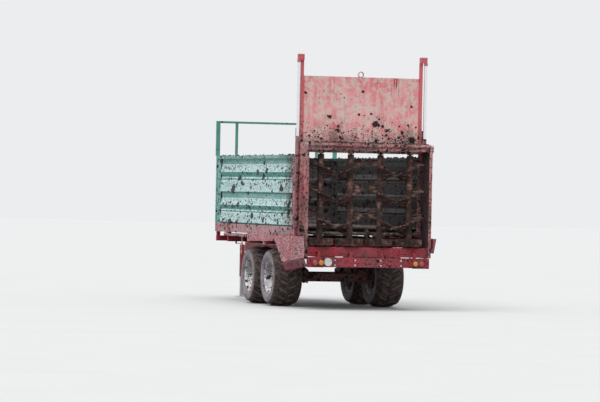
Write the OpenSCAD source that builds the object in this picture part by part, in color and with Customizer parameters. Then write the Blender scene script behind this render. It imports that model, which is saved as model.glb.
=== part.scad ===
// Towed manure spreader, full size, in millimetres: a ribbed open box on a box-section
// chassis and a two-axle bogie, with a floor conveyor, a slide gate raised on two rods
// and a rear unit of four upright rotors. +X points forward to the hitch ring, +Y left.

/* [Box] */
// Rear end of the box walls, ahead of the rear unit's edge
box_x = 800; // [700:10:1000]
// Length of the box walls
box_l = 5300; // [4000:50:6000]
// Lower edge of the green walls
wall_z0 = 1476; // [1400:1:1550]
// Seam between the two wall tiers
seam_z = 2057; // [1900:1:2200]
// Top of the wall's rail
wall_z1 = 2773; // [2600:1:2900]
// Half width over the wall's ribs
wall_y = 1200; // [1150:1:1250]
// Thickness of the sheet walls
wall_t = 4; // [3:0.5:6]
// Depth of the pressed ribs
rib_d = 36; // [20:1:50]
// Height of the wall's top rail
top_h = 60; // [40:1:90]
// Length of the flat upright at the front end of the wall
upright_l = 250; // [120:5:400]
// Height of the open frame above the front wall
grille_z = 3432; // [3200:1:3600]

/* [Chassis] */
// Middle of each main rail
rail_y = 540; // [500:5:600]
// Width of a main rail
rail_w = 100; // [80:5:140]
// Height of a main rail
rail_h = 240; // [180:5:280]
// Underside of the main rails
rail_z = 930; // [900:5:1000]
// Underside of the outer rail below the wall
side_z = 1312; // [1290:1:1340]

/* [Running gear] */
// Radius over the tyre's lugs
tyre_r = 535; // [500:1:600]
// Width of a tyre
tyre_w = 550; // [450:5:600]
// Middle of each tyre from the centre line
track_y = 980; // [940:5:1020]
// Rear axle, ahead of the rear unit's edge
axle_x = 2210; // [2000:10:2600]
// Distance between the axles
axle_gap = 1350; // [1250:10:1500]
// Radius of the rim where the tyre sits
rim_r = 285; // [260:1:320]
// Side of the square axle beam
beam_a = 150; // [120:1:160]

/* [Gate] */
// Half width of the gate sheet between its stiles
gate_y = 1100; // [1050:1:1104]
// Side of a stile's square tube
stile_a = 54; // [50:1:60]
// Lower edge of the gate when raised
gate_z = 2830; // [2800:1:2900]
// Height of the gate sheet
gate_h = 1374; // [1300:1:1400]
// Travel of the gate
stroke = 1320; // [1200:5:1330]
// Radius of the lift rods
rod_r = 29; // [20:0.5:29]
// Lift rods from the centre line
rod_y = 1200; // [1200:1:1204]
// Top of the portal's posts
post_z = 3261; // [3120:1:3300]
// Gap between the gate's stile and its guides
guide_gap = 7; // [6:0.5:10]

/* [Rear unit] */
// Top of the rear unit
unit_z = 3000; // [2900:1:3100]
// Rear edge of the rear unit's top plate and side walls
unit_x0 = 46; // [0:1:60]
// Half width of the rear unit's top plate
unit_y = 1142; // [1130:1:1150]
// Middle of the rotors, ahead of the unit's edge
rotor_x = 290; // [280:1:320]
// Distance between neighbouring rotors
rotor_gap = 560; // [550:1:570]
// Radius over the rotor's teeth
rotor_r = 268; // [240:1:270]
// Radius of the rotor's tube
tube_r = 57; // [45:1:80]
// Lower end of the rotors
rotor_z0 = 1168; // [1160:1:1200]
// Upper end of the rotors
rotor_z1 = 2800; // [2700:1:2810]
// Rise of the flight in one turn
pitch = 480; // [360:10:700]
// Underside of the drive beam below the rotors
drive_z = 962; // [940:1:1000]

/* [Floor conveyor] */
// Middle of the conveyor shafts
shaft_z = 1371; // [1360:1:1380]
// Radius of the chain's inner side on a sprocket
chain_r = 96; // [90:1:100]
// Distance between neighbouring slats
slat_gap = 350; // [250:10:450]
// Reach of the conveyor behind the floor
conv_x = 700; // [690:1:760]

/* [Hitch and jack] */
// Front end of the hitch ring
eye_x = 8260; // [7900:10:8400]
// Middle of the hitch ring above the ground
eye_z = 600; // [500:10:700]
// Radius of the hitch ring's hole
eye_r = 25; // [20:0.5:30]
// Radius of the input shaft, a 1 3/8 inch power take-off
pto_r = 17.46; // [17.46:0.01:22.3]
// Height of the input shaft and the driveline
line_z = 1046; // [1000:1:1060]
// Jack's middle behind the front end of the ring
jack_back = 700; // [600:10:860]
// Gap round the jack's inner tube
jack_gap = 0.5; // [0.3:0.1:4]

/* [Lamps and skirts] */
// Rear end of the skirts, behind the unit's edge
skirt_x = 120; // [80:5:150]
// Outer face of the skirts from the centre line
skirt_y = 1240; // [1210:1:1250]
// Middle of the rear lamps above the ground
lamp_z = 852; // [800:1:900]
// Radius of a rear lamp
lamp_r = 50; // [40:1:55]
// Radius of the blank round sign
disc_r = 72; // [60:1:80]
// Middle of the sign from the centre line
disc_y = 761; // [740:1:765]

/* [Hidden] */
run = 0.05;
xo = (skirt_x - eye_x) / 2;
box_x1 = box_x + box_l;
axle_z = tyre_r;
axle_x1 = axle_x + axle_gap;
bogie_x = axle_x + axle_gap / 2;
rail_z1 = rail_z + rail_h;
cradle_z = 1130;
cradle_z1 = 1230;
in_y = wall_y - rib_d - wall_t;
deck_z = shaft_z + chain_r - 4;
conv_x1 = box_x1 - 110;
stile_x0 = 600;
stile_x1 = stile_x0 + stile_a;
stile_y1 = gate_y - 1 + stile_a;
rod_x = stile_x0 - 23;
bore_r = rod_r + 4;
barrel_r = bore_r + 3.5;
barrel_z1 = unit_z + 112;
cap_z0 = barrel_z1 + stroke + 8;
cap_h = 103;
cap_z1 = cap_z0 + 48 + cap_h;
journal_r = 25;
drive_z1 = 1132;
hub_r = 45;
jack_a = 80;
plate_x = box_x1 + 560;
pivot_z = 750;
pivot_r = 35;
unit_x1 = 534;
lip_x1 = unit_x1 + 6;
web_y = stile_y1 + 5.5;
web_t = 4;
post_x0 = stile_x0 + 22;
post_x1 = post_x0 + 50;
post_y1 = 1215;
sill_z = 1000;
ring_l = 330;
guard_x0 = 3690;
guard_x1 = 5470;
guard_z = 1240;
guard_h = 45;
sign_x = 4165;
sign_z = 955;
sign_r = 40;
fender_x0 = axle_x - 650;
fender_x1 = axle_x1 + 680;
fender_y = 690;
hanger_ys = [-900, -300, 300, 900];
hanger_w = 50;
chain_w = 30;
chain_t = 14;
link_p = 100;
slot_l = 66;
slat_w = 40;
slat_t = 18;
slat_y0 = 55;
slat_y1 = 1075;
shaft_r = 30;
frame_y = wall_y + 26;
ear_y1 = unit_y + 65;
unit_foot = 956;
rib_x = 345;
foot_h = 16;
bar_x0 = box_x1 - 300;
bar_x1 = eye_x - ring_l;
foot_z = 1482;
leg_y0 = rail_y + rail_w / 2;
leg_y1 = 95;
jack_x = eye_x - jack_back;

// Outer edge of the drawbar's leg, and its top and bottom, at a place along the machine
function leg_y(x) = leg_y0 + (leg_y1 - leg_y0) * (x - box_x1) / (bar_x1 - box_x1);
function leg_top(x) = rail_z + (eye_z + 90 - rail_z) * (x - box_x1 - 100) / (bar_x1 - box_x1 - 100);
function leg_bottom(x) =
  rail_z - 130 + (eye_z - 90 - rail_z + 130) * (x - box_x1 - 100) / (bar_x1 - box_x1 - 100);
// Jack beside the left leg, 2 mm off its outer edge
jack_y = leg_y(jack_x - jack_a / 2) + 2 + jack_a / 2;

// Block between two corners
module blk(x0, x1, y0, y1, z0, z1) {
  translate([x0, y0, z0])
    cube([x1 - x0, y1 - y0, z1 - z0]);
}

// Outline of [y, z] points drawn along X from x0 to x1
module along_x(pts, x0, x1) {
  translate([x0, 0, 0])
    rotate([90, 0, 90])
      linear_extrude(height = x1 - x0)
        polygon(pts);
}

// Outline of [x, z] points drawn along Y from y0 to y1
module along_y(pts, y0, y1) {
  translate([0, y1, 0])
    rotate([90, 0, 0])
      linear_extrude(height = y1 - y0)
        polygon(pts);
}

// Round bar along Y
module bar_y(x, z, r, y0, y1, n = 48) {
  translate([x, y1, z])
    rotate([90, 0, 0])
      cylinder(r = r, h = y1 - y0, $fn = n);
}

// Round bar along X
module bar_x(y, z, r, x0, x1, n = 48) {
  translate([x0, y, z])
    rotate([0, 90, 0])
      cylinder(r = r, h = x1 - x0, $fn = n);
}

// Same piece on the left side (s = 1) or mirrored to the right (s = -1)
module side(s) {
  if (s > 0)
    children();
  else
    mirror([0, 1, 0])
      children();
}

// Section of one pressed wall tier from its bottom: each row is [share of the tier's height,
// how far out, 0 to 1]; the sheet has two such tiers
tier_rows = [[0, 0], [0.05, 1], [0.34, 0.62], [0.39, 0.50], [0.43, 0.62], [0.47, 0.2],
  [0.49, 0.2], [0.62, 1], [0.85, 0], [1, 0]];
lower_h = seam_z - wall_z0;
upper_h = wall_z1 - top_h - seam_z;
wall_steps = concat(
  [for (r = tier_rows) [wall_z0 + r[0] * lower_h, r[1]]],
  [for (i = [1:len(tier_rows) - 1]) [seam_z + tier_rows[i][0] * upper_h, tier_rows[i][1]]]
);
press_x1 = box_x1 - 40 - upright_l;

module side_wall(s)
  color("#2f8f7c")
    translate([xo, 0, 0])
      side(s) {
        // pressed sheet: out along the outer face, back along the inner one
        along_x(concat(
          [for (p = wall_steps) [in_y + wall_t + p[1] * rib_d, p[0]]],
          [for (i = [len(wall_steps) - 1:-1:0])
            [in_y + wall_steps[i][1] * rib_d, wall_steps[i][0]]]
        ), box_x, press_x1 + 1);
        // flat folded upright at the front end of the sheet
        translate([0, 0, wall_z0])
          linear_extrude(height = wall_z1 - top_h + 1 - wall_z0)
            polygon([[press_x1, in_y], [press_x1, wall_y - 6], [box_x1 - 40, wall_y - 6],
              [box_x1 - 40, in_y], [box_x1 - 44, in_y], [box_x1 - 44, wall_y - 6 - wall_t],
              [press_x1 + wall_t, wall_y - 6 - wall_t], [press_x1 + wall_t, in_y]]);
        // hollow top rail
        difference() {
          blk(box_x, box_x1 - 40, in_y - 8, wall_y + 10, wall_z1 - top_h, wall_z1);
          blk(box_x - 1, box_x1, in_y - 3, wall_y + 5, wall_z1 - top_h + 5, wall_z1 - 5);
        }
      }

module side_wall_left()
  side_wall(1);

module side_wall_right()
  side_wall(-1);

module front_wall()
  color("#2b8674")
    translate([xo, 0, 0]) {
      fx = box_x1 - 10;
      z0 = deck_z + 60;
      h = wall_z1 - 60 - z0;
      // each row: height as a share of the panel, how far out of the plane
      rows = [[0, 0], [0.05, 0], [0.08, 1], [0.28, 1], [0.31, 0], [0.36, 0], [0.39, 1],
        [0.61, 1], [0.64, 0], [0.69, 0], [0.72, 1], [0.92, 1], [0.95, 0], [1, 0]];
      along_y(concat(
        [for (r = rows) [fx + r[1] * 24, z0 + r[0] * h]],
        [for (i = [len(rows) - 1:-1:0]) [fx - wall_t + rows[i][1] * 24, z0 + rows[i][0] * h]]
      ), -in_y + 30, in_y - 30);
      difference() {
        blk(box_x1 - 40, box_x1 + 20, -in_y + 30, in_y - 30, wall_z1 - 60, wall_z1);
        blk(box_x1 - 35, box_x1 + 15, -in_y + 20, in_y - 20, wall_z1 - 55, wall_z1 - 5);
      }
      blk(box_x1 - 40, box_x1 + 20, -in_y + 30, in_y - 30, z0 - 8, z0);
      for (s = [1, -1])
        side(s)
          blk(box_x1 - 40, box_x1 + 20, in_y - 30, wall_y + 10, wall_z0, wall_z1);
    }

module floor_deck()
  color("#7d8a86")
    translate([xo, 0, 0]) {
      blk(conv_x + 130, conv_x1 - 130, -in_y + 1, in_y - 1, deck_z - 5, deck_z);
      // cross members between the two runs of the conveyor
      for (x = [box_x + 160:(box_l - 440) / 8:box_x1 - 270])
        along_y([[x, deck_z - 85], [x + 60, deck_z - 85], [x + 60, deck_z - 79],
          [x + 6, deck_z - 79], [x + 6, deck_z - 11], [x + 60, deck_z - 11],
          [x + 60, deck_z - 5], [x, deck_z - 5]], -wall_y + 8, wall_y - 8);
    }

// Posts of the open frame on the front wall, each row is [half depth, inner side, outer side,
// inner side of its foot, outer side of its foot]
frame_posts = [[20, frame_y - 76, frame_y, frame_y - 96, frame_y], [15, 788, 838, 770, 856]];

module front_frame()
  color("#3a8577")
    translate([xo, 0, 0]) {
      for (s = [1, -1], post = frame_posts)
        side(s) {
          blk(box_x1 - post[0], box_x1 + post[0], post[1], post[2], wall_z1, grille_z);
          blk(box_x1 - 45, box_x1 + 25, post[3], post[4], wall_z1, wall_z1 + 10);
        }
      blk(box_x1 - 20, box_x1 + 20, -frame_y, frame_y, grille_z - 20, grille_z + 20);
    }

module chassis()
  color("#a8433f")
    translate([xo, 0, 0])
      for (s = [1, -1])
        side(s) {
          difference() {
            blk(450, box_x1 + 40, rail_y - rail_w / 2, rail_y + rail_w / 2, rail_z, rail_z1);
            blk(400, box_x1 + 60, rail_y - rail_w / 2 + 8, rail_y + rail_w / 2 - 8,
              rail_z + 8, rail_z1 - 8);
          }
          // pivot brackets of the bogies
          for (y = [rail_y - rail_w / 2 - 12, rail_y + rail_w / 2])
            difference() {
              along_y([[bogie_x - 190, rail_z + 60], [bogie_x + 190, rail_z + 60],
                [bogie_x + 90, 690], [bogie_x - 90, 690]], y, y + 12);
              bar_y(bogie_x, pivot_z, pivot_r + run, y - 1, y + 13);
            }
        }

// Cradles that carry the outer rails: the wall's cross beams with an upright at each end
cradles = [box_x + 60, box_x + 760, axle_x + 320, axle_x1 + 200, box_x1 - 900, box_x1 - 80];

module cross_beams()
  color("#a04440")
    translate([xo, 0, 0]) {
      for (x = cradles) {
        // hollow beam, notched to sit on the main rails
        difference() {
          blk(x, x + 80, -wall_y + 10, wall_y - 10, cradle_z, cradle_z1);
          blk(x + 6, x + 74, -wall_y, wall_y, cradle_z + 6, cradle_z1 - 6);
          for (s = [1, -1])
            side(s)
              blk(x - 1, x + 81, rail_y - rail_w / 2, rail_y + rail_w / 2, cradle_z - 1, rail_z1);
        }
        for (s = [1, -1])
          side(s)
            blk(x, x + 60, wall_y - 74, wall_y - 10, cradle_z, side_z);
      }
      // cross tubes between the main rails at the bogie's pivots and the front end
      for (x = [bogie_x - 330, bogie_x + 250, box_x1 - 60])
        blk(x, x + 80, -rail_y + rail_w / 2, rail_y - rail_w / 2, rail_z + 10, rail_z + 70);
    }

module side_rails()
  color("#9d4a45")
    translate([xo, 0, 0])
      for (s = [1, -1])
        side(s) {
          // outer rail, a channel open to the inside
          along_x([[wall_y - 70, side_z], [wall_y, side_z], [wall_y, wall_z0],
            [wall_y - 70, wall_z0], [wall_y - 70, wall_z0 - 8], [wall_y - 8, wall_z0 - 8],
            [wall_y - 8, side_z + 8], [wall_y - 70, side_z + 8]], box_x, box_x1 + 40);
          // guard bar below it and its hangers
          blk(guard_x0, guard_x1, wall_y - 10, wall_y + 10, guard_z, guard_z + guard_h);
          for (x = [guard_x0 + 70, (guard_x0 + guard_x1) / 2 - 20, guard_x1 - 90])
            blk(x, x + 50, wall_y - 4, wall_y + 4, guard_z + guard_h - 5, side_z);
          // hanger of the side reflector
          blk(sign_x - 25, sign_x + 25, wall_y + 1, wall_y + 7, sign_z - 50, guard_z + 5);
        }

// Portal beside the gate: guide channel of the stile, hollow post, and the plate that
// the wall ends on
module portal(s)
  color("#a5514c")
    translate([xo, 0, 0])
      side(s) {
        translate([0, 0, sill_z])
          linear_extrude(height = unit_z - sill_z)
            polygon([[unit_x1, unit_y], [lip_x1, unit_y], [lip_x1, web_y], [box_x, web_y],
              [box_x, web_y + web_t], [unit_x1, web_y + web_t]]);
        for (x = [stile_x0 - guide_gap - 6, stile_x1 + guide_gap])
          blk(x, x + 6, stile_y1 - 33, web_y + 1, foot_z + 18, unit_z);
        difference() {
          blk(post_x0, post_x1, web_y + web_t - 0.5, post_y1, sill_z, post_z);
          blk(post_x0 + 5, post_x1 - 5, web_y + web_t + 4.5, post_y1 - 5, sill_z - 1, post_z - 5);
        }
        // corner plate with its return to the wall
        translate([0, 0, side_z])
          linear_extrude(height = wall_z1 - side_z)
            polygon([[post_x1 - 1, post_y1], [box_x, post_y1], [box_x, web_y],
              [box_x - 6, web_y], [box_x - 6, post_y1 - 6], [post_x1 - 1, post_y1 - 6]]);
        // foot of the barrel and the clamp below its top
        blk(rod_x - barrel_r, post_x0 + 1, rod_y - 30, rod_y + 14, foot_z - foot_h, foot_z);
        difference() {
          blk(rod_x, post_x0 + 1, rod_y - 22, rod_y + 14, unit_z - 90, unit_z - 50);
          translate([rod_x, rod_y, unit_z - 100])
            cylinder(r = barrel_r + 0.3, h = 60, $fn = 48);
        }
        // bearing plate of the conveyor's rear shaft
        difference() {
          blk(conv_x - 70, conv_x + 70, web_y - 48, web_y + 1, shaft_z - 60, shaft_z + 60);
          bar_y(conv_x, shaft_z, shaft_r + run, web_y - 60, web_y - 4);
        }
        // sill below, and the arm to the main rail
        blk(lip_x1, box_x, web_y, post_y1, sill_z, sill_z + 10);
        blk(570, 650, rail_y + rail_w / 2, web_y + 1, sill_z, sill_z + 80);
      }

module portal_left()
  portal(1);

module portal_right()
  portal(-1);

module gate_barrels()
  color("#5c5f5e")
    translate([xo, 0, 0])
      for (s = [1, -1])
        side(s)
          translate([rod_x, rod_y, 0])
            difference() {
              union() {
                translate([0, 0, foot_z])
                  cylinder(r = barrel_r, h = barrel_z1 - foot_z, $fn = 48);
                translate([0, 0, unit_z + 12])
                  cylinder(r = barrel_r + 2, h = barrel_z1 - unit_z - 12, $fn = 48);
              }
              translate([0, 0, foot_z + 18])
                cylinder(r = bore_r, h = barrel_z1 - foot_z - 68, $fn = 48);
              translate([0, 0, unit_z])
                cylinder(r = rod_r + 0.5, h = 200, $fn = 48);
            }

module gate()
  color("#8f6f68")
    translate([xo, 0, 0]) {
      // sheet with pressed edges at the top and bottom
      blk(stile_x0 + 20, stile_x0 + 25, -gate_y, gate_y, gate_z, gate_z + gate_h);
      blk(stile_x0 + 20, stile_x0 + 50, -gate_y, gate_y, gate_z, gate_z + 6);
      blk(stile_x0 + 20, stile_x0 + 50, -gate_y, gate_y, gate_z + gate_h - 6, gate_z + gate_h);
      for (k = [0.33, 0.66])
        blk(stile_x0 + 24, stile_x0 + 50, -gate_y, gate_y, gate_z + k * gate_h, gate_z + k * gate_h + 40);
      // lifting ring on top
      difference() {
        translate([stile_x0 + 14, 18, gate_z + gate_h + 46])
          rotate([0, 90, 0])
            cylinder(r = 57, h = 18, $fn = 48);
        translate([stile_x0, 18, gate_z + gate_h + 46])
          rotate([0, 90, 0])
            cylinder(r = 38, h = 60, $fn = 48);
        blk(stile_x0, stile_x0 + 19.9, -80, 80, gate_z + gate_h - 30, gate_z + gate_h);
        blk(stile_x0 + 25.1, stile_x0 + 60, -80, 80, gate_z + gate_h - 30, gate_z + gate_h);
      }
      for (s = [1, -1])
        side(s) {
          // stile and the cap that joins it to its rod
          difference() {
            blk(stile_x0, stile_x1, stile_y1 - stile_a, stile_y1, gate_z, cap_z1 - cap_h + 2);
            blk(stile_x0 + 5, stile_x1 - 5, stile_y1 - stile_a + 5, stile_y1 - 5, gate_z - 1, cap_z0);
          }
          translate([0, 0, cap_z1 - cap_h])
            linear_extrude(height = cap_h)
              polygon([[rod_x - rod_r - 3, stile_y1 - 45], [stile_x1 + 16, stile_y1 - 45],
                [stile_x1 + 16, stile_y1], [post_x0 - 6, stile_y1], [post_x0 - 6, rod_y + rod_r - 9],
                [rod_x - rod_r - 3, rod_y + rod_r - 9]]);
          translate([rod_x, rod_y, cap_z0])
            cylinder(r = rod_r + 6, h = 49, $fn = 48);
        }
    }

module gate_rods()
  color("#c9ccd0")
    translate([xo, 0, 0])
      for (s = [1, -1])
        side(s) {
          translate([rod_x, rod_y, barrel_z1 - 150])
            cylinder(r = rod_r, h = cap_z0 - barrel_z1 + 150, $fn = 48);
          translate([rod_x, rod_y, barrel_z1 - 190])
            cylinder(r = bore_r - 0.5, h = 45, $fn = 48);
        }

module rear_unit()
  color("#ab4d47")
    translate([xo, 0, 0]) {
      // top plate with a lip, and the recessed cross beam that holds the upper bearings
      blk(unit_x0, unit_x1, -unit_y, unit_y, unit_z - 6, unit_z);
      blk(unit_x0, unit_x0 + 6, -unit_y, unit_y, unit_z - 45, unit_z);
      difference() {
        blk(100, 460, -unit_y + 1, unit_y - 1, unit_z - 130, unit_z - 56);
        blk(108, 452, -unit_y, unit_y, unit_z - 122, unit_z - 64);
      }
      for (s = [1, -1])
        side(s) {
          // side wall with its turned-out rear edge and an upright rib
          blk(unit_x0, unit_x1, unit_y, unit_y + 6, unit_foot, unit_z);
          blk(unit_x0 - 6, unit_x0, unit_y - 10, ear_y1 - 20, unit_foot, unit_z - 130);
          blk(100, 460, unit_y - 60, unit_y, unit_z - 62, unit_z - 6);
          blk(rib_x, rib_x + 40, unit_y + 5, unit_y + 50, 1140, unit_z - 100);
          // rounded ear at the upper corner
          difference() {
            union() {
              bar_y(unit_x0 + 38, unit_z - 42, 42, unit_y, ear_y1);
              blk(unit_x0 - 4, unit_x0 + 80, unit_y, ear_y1, unit_z - 148, unit_z - 42);
            }
            bar_y(unit_x0 + 38, unit_z - 46, 14, unit_y + 20, ear_y1 + 5);
          }
        }
      // upper bearings
      for (i = [-1.5:1:1.5])
        translate([rotor_x, i * rotor_gap, 0])
          difference() {
            translate([0, 0, rotor_z1 + 10])
              cylinder(r = 55, h = unit_z - 129 - rotor_z1 - 10, $fn = 48);
            translate([0, 0, rotor_z1])
              cylinder(r = journal_r + run, h = unit_z - 134 - rotor_z1, $fn = 48);
          }
    }

module drive_beam()
  color("#a34741")
    translate([xo, 0, 0])
      difference() {
        union() {
          difference() {
            blk(130, 450, -unit_y, unit_y, drive_z, drive_z1);
            blk(138, 442, -unit_y - 1, unit_y + 1, drive_z + 8, drive_z1 - 8);
          }
          for (s = [1, -1])
            side(s)
              blk(120, 460, unit_y - 8, unit_y, drive_z - 12, drive_z1 + 6);
          // input housing at the front of the beam
          bar_x(0, line_z, 90, 440, 560);
          // lower bearings
          for (i = [-1.5:1:1.5])
            translate([rotor_x, i * rotor_gap, drive_z1 - 30])
              cylinder(r = 60, h = 46, $fn = 48);
          // brackets back to the lamp bar
          for (y = hanger_ys)
            blk(20, 131, y, y + hanger_w, drive_z + 5, drive_z + 85);
        }
        for (i = [-1.5:1:1.5])
          translate([rotor_x, i * rotor_gap, drive_z1 - 26])
            cylinder(r = journal_r + run, h = 60, $fn = 48);
        bar_x(0, line_z, 30 + run, 500, 600);
      }

// Rotor: tube, bottom disc with paddles, flat flight segments and a tooth on each
seg_n = 9;
seg_h = pitch / seg_n;
flight_z0 = rotor_z0 + 190;
flight_n = floor((rotor_z1 - 60 - flight_z0) / seg_h);

module rotor(i, hand)
  color("#8a8580")
    translate([xo + rotor_x, (i - 1.5) * rotor_gap, 0]) {
      translate([0, 0, rotor_z0])
        cylinder(r = tube_r, h = rotor_z1 - rotor_z0, $fn = 48);
      translate([0, 0, drive_z1 - 20])
        cylinder(r = journal_r, h = rotor_z1 + 65 - drive_z1, $fn = 48);
      // bottom disc and its six paddles
      translate([0, 0, rotor_z0])
        cylinder(r = rotor_r - 18, h = 8, $fn = 64);
      for (k = [0:5])
        rotate([0, 0, 60 * k])
          translate([tube_r - 6, -4, rotor_z0 + 4])
            cube([rotor_r - tube_r - 14, 8, 120]);
      // flight of flat segments, each tilted along the helix, with a tooth at its end
      for (k = [0:flight_n])
        translate([0, 0, flight_z0 + k * seg_h])
          rotate([0, 0, hand * 360 / seg_n * k])
            rotate([hand * 23, 0, 0]) {
              translate([0, 0, -4])
                linear_extrude(height = 8)
                  polygon([[tube_r - 10, -26], [rotor_r - 52, -82], [rotor_r - 44, 0],
                    [rotor_r - 52, 82], [tube_r - 10, 26]]);
              translate([rotor_r - 84, -24, -11])
                cube([80, 34, 22]);
            }
    }

module rotor_1()
  rotor(0, 1);

module rotor_2()
  rotor(1, -1);

module rotor_3()
  rotor(2, 1);

module rotor_4()
  rotor(3, -1);

// Rear lamps: each row is [middle from the centre line on the left, is it red, 1 or 0]
lamp_rows = [[1000, 1], [886, 0]];

module lamp_bar()
  color("#9c4b46")
    translate([xo, 0, 0])
      difference() {
        union() {
          blk(20, 60, -1150, 1150, lamp_z - 75, lamp_z + 100);
          for (s = [1, -1])
            side(s)
              blk(8, 22, 832, 1150, lamp_z - 84, lamp_z + 84);
          for (y = hanger_ys)
            blk(20, 60, y, y + hanger_w, lamp_z + 90, drive_z + 5);
          blk(-14, 21, disc_y - 70, disc_y - 20, lamp_z - 40, lamp_z + 70);
          blk(-20, -14, disc_y - 108, disc_y + 61, lamp_z - 78, lamp_z + 104);
        }
        blk(28, 80, -1160, 1160, lamp_z - 67, lamp_z + 92);
      }

module lamps_red()
  color("#c8202a")
    translate([xo, 0, 0])
      for (s = [1, -1], row = lamp_rows)
        if (row[1] == 1)
          bar_x(s * row[0], lamp_z, lamp_r, -20, 8, 64);

module lamps_amber()
  color("#f08a20")
    translate([xo, 0, 0])
      for (s = [1, -1], row = lamp_rows)
        if (row[1] == 0)
          bar_x(s * row[0], lamp_z, lamp_r, -20, 8, 64);

module sign_disc()
  color("#e9e9e4")
    translate([xo, 0, 0])
      bar_x(disc_y, lamp_z + 13, disc_r, -24, -20, 96);

// Skirt: ends of its edge above the tyres, height of the left one's fold and the fold's ends,
// the band's width and height below it, and the right one's lower edge
arch_x0 = axle_x - 433;
arch_x1 = axle_x1 + 115;
arch_z0 = cradle_z + 71;
arch_z1 = cradle_z + 35;
fold_x1 = axle_x - 920;
fold_z1 = 829;
fold_z0 = 943;
band_x1 = fold_x1 - 44;
band_drop = 154;
band_in = 50;
short_z = 1045;
skirt_t = 4;

// Outline of a skirt's panel, each row is [place along the machine, height]
skirt_rows_left = [[arch_x1 + 25, side_z], [arch_x1, arch_z1], [arch_x0, arch_z0],
  [fold_x1, fold_z1], [13 - skirt_x, fold_z0], [-skirt_x, 1060], [80 - skirt_x, side_z]];
skirt_rows_right = [[arch_x1 + 25, side_z], [arch_x1, arch_z1], [arch_x0, arch_z0],
  [arch_x0 - 217, short_z], [147 - skirt_x, short_z], [13 - skirt_x, side_z]];

// Skirt over the wheels: panel, mudguard plate and the brackets that carry both
module skirt(rows)
  {
    along_y(rows, skirt_y - skirt_t, skirt_y);
    blk(fender_x0, fender_x1, fender_y, wall_y, cradle_z - 4, cradle_z);
    for (x = [cradles[0], cradles[2]])
      blk(x, x + 60, wall_y - 10, skirt_y - 3, cradle_z - 4, cradle_z1);
    for (x = [80, 430])
      blk(x, x + 50, unit_y + 6, skirt_y - 3, 1050, 1120);
  }

module skirt_left()
  color("#a04c46")
    translate([xo, 0, 0]) {
      skirt(skirt_rows_left);
      // inward-bent lower band
      hull() {
        along_y([[fold_x1, fold_z1], [13 - skirt_x, fold_z0], [13 - skirt_x, fold_z0 + skirt_t],
          [fold_x1, fold_z1 + skirt_t]], skirt_y - skirt_t, skirt_y);
        along_y([[band_x1, fold_z1 - band_drop], [1 - skirt_x, fold_z0 - band_drop - 6],
          [1 - skirt_x, fold_z0 - band_drop - 2], [band_x1, fold_z1 - band_drop + skirt_t]],
          skirt_y - band_in - skirt_t, skirt_y - band_in);
      }
    }

module skirt_right()
  color("#a04c46")
    translate([xo, 0, 0])
      side(-1)
        skirt(skirt_rows_right);

// Walking beam of one side, its pivot pin and the seats on both axles
module bogie(s)
  color("#6d3a36")
    translate([xo, 0, 0])
      side(s) {
        bz = axle_z + beam_a / 2;
        difference() {
          along_y([[axle_x - 120, bz], [axle_x1 + 120, bz], [axle_x1 + 120, bz + 60],
            [bogie_x + 160, bz + 200], [bogie_x - 160, bz + 200], [axle_x - 120, bz + 60]],
            rail_y - 48, rail_y + 48);
          for (x = [bogie_x - 420, bogie_x + 240])
            along_y([[x, bz + 12], [x + 180, bz + 12], [x + 180, bz + 80], [x, bz + 80]],
              rail_y - 60, rail_y + 60);
        }
        bar_y(bogie_x, pivot_z, pivot_r, rail_y - 80, rail_y + 80);
        // straps round the axle beams
        for (x = [axle_x, axle_x1])
          for (d = [-beam_a / 2 - 14, beam_a / 2])
            blk(x + d, x + d + 14, rail_y - 48, rail_y + 48, axle_z - beam_a / 2 - 14, bz + 1);
        for (x = [axle_x, axle_x1])
          blk(x - beam_a / 2 - 14, x + beam_a / 2 + 14, rail_y - 48, rail_y + 48,
            axle_z - beam_a / 2 - 14, axle_z - beam_a / 2);
      }

module bogie_left()
  bogie(1);

module bogie_right()
  bogie(-1);

module axle(x)
  color("#7a3a36")
    translate([xo + x, 0, axle_z]) {
      difference() {
        translate([-beam_a / 2, -track_y + 250, -beam_a / 2])
          cube([beam_a, 2 * track_y - 500, beam_a]);
        translate([-beam_a / 2 + 12, -track_y + 200, -beam_a / 2 + 12])
          cube([beam_a - 24, 2 * track_y - 400, beam_a - 24]);
      }
      for (s = [1, -1])
        side(s) {
          // brake drum, backing and the spindle that carries the wheel
          bar_y(0, 0, 190, track_y - 250, track_y - 110, 64);
          bar_y(0, 0, hub_r, track_y - 111, track_y + 30);
          // brake lever
          blk(-30, 30, track_y - 262, track_y - 250, 60, 210);
        }
    }

module axle_rear()
  axle(axle_x);

module axle_front()
  axle(axle_x1);

// Tyre: half of the outline from the bead to the tread, each row is [radius, half width]
tyre_rows = [[rim_r, 0.392], [rim_r + 22, 0.43], [0.66 * tyre_r, 0.49], [0.80 * tyre_r, 0.5],
  [0.87 * tyre_r, 0.475], [0.93 * tyre_r, 0.43], [tyre_r - 16, 0.34]];

// A lug lies slantwise, so its top stays below the tyre's radius by its reach along the tread
lug_n = 20;
lug_h = 40;
lug_l = 0.38 * tyre_w;
lug_w = 40;
lug_turn = 28;
lug_reach = lug_l / 2 * sin(lug_turn) + lug_w / 2 * cos(lug_turn);
lug_top = sqrt(tyre_r * tyre_r - lug_reach * lug_reach);

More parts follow.
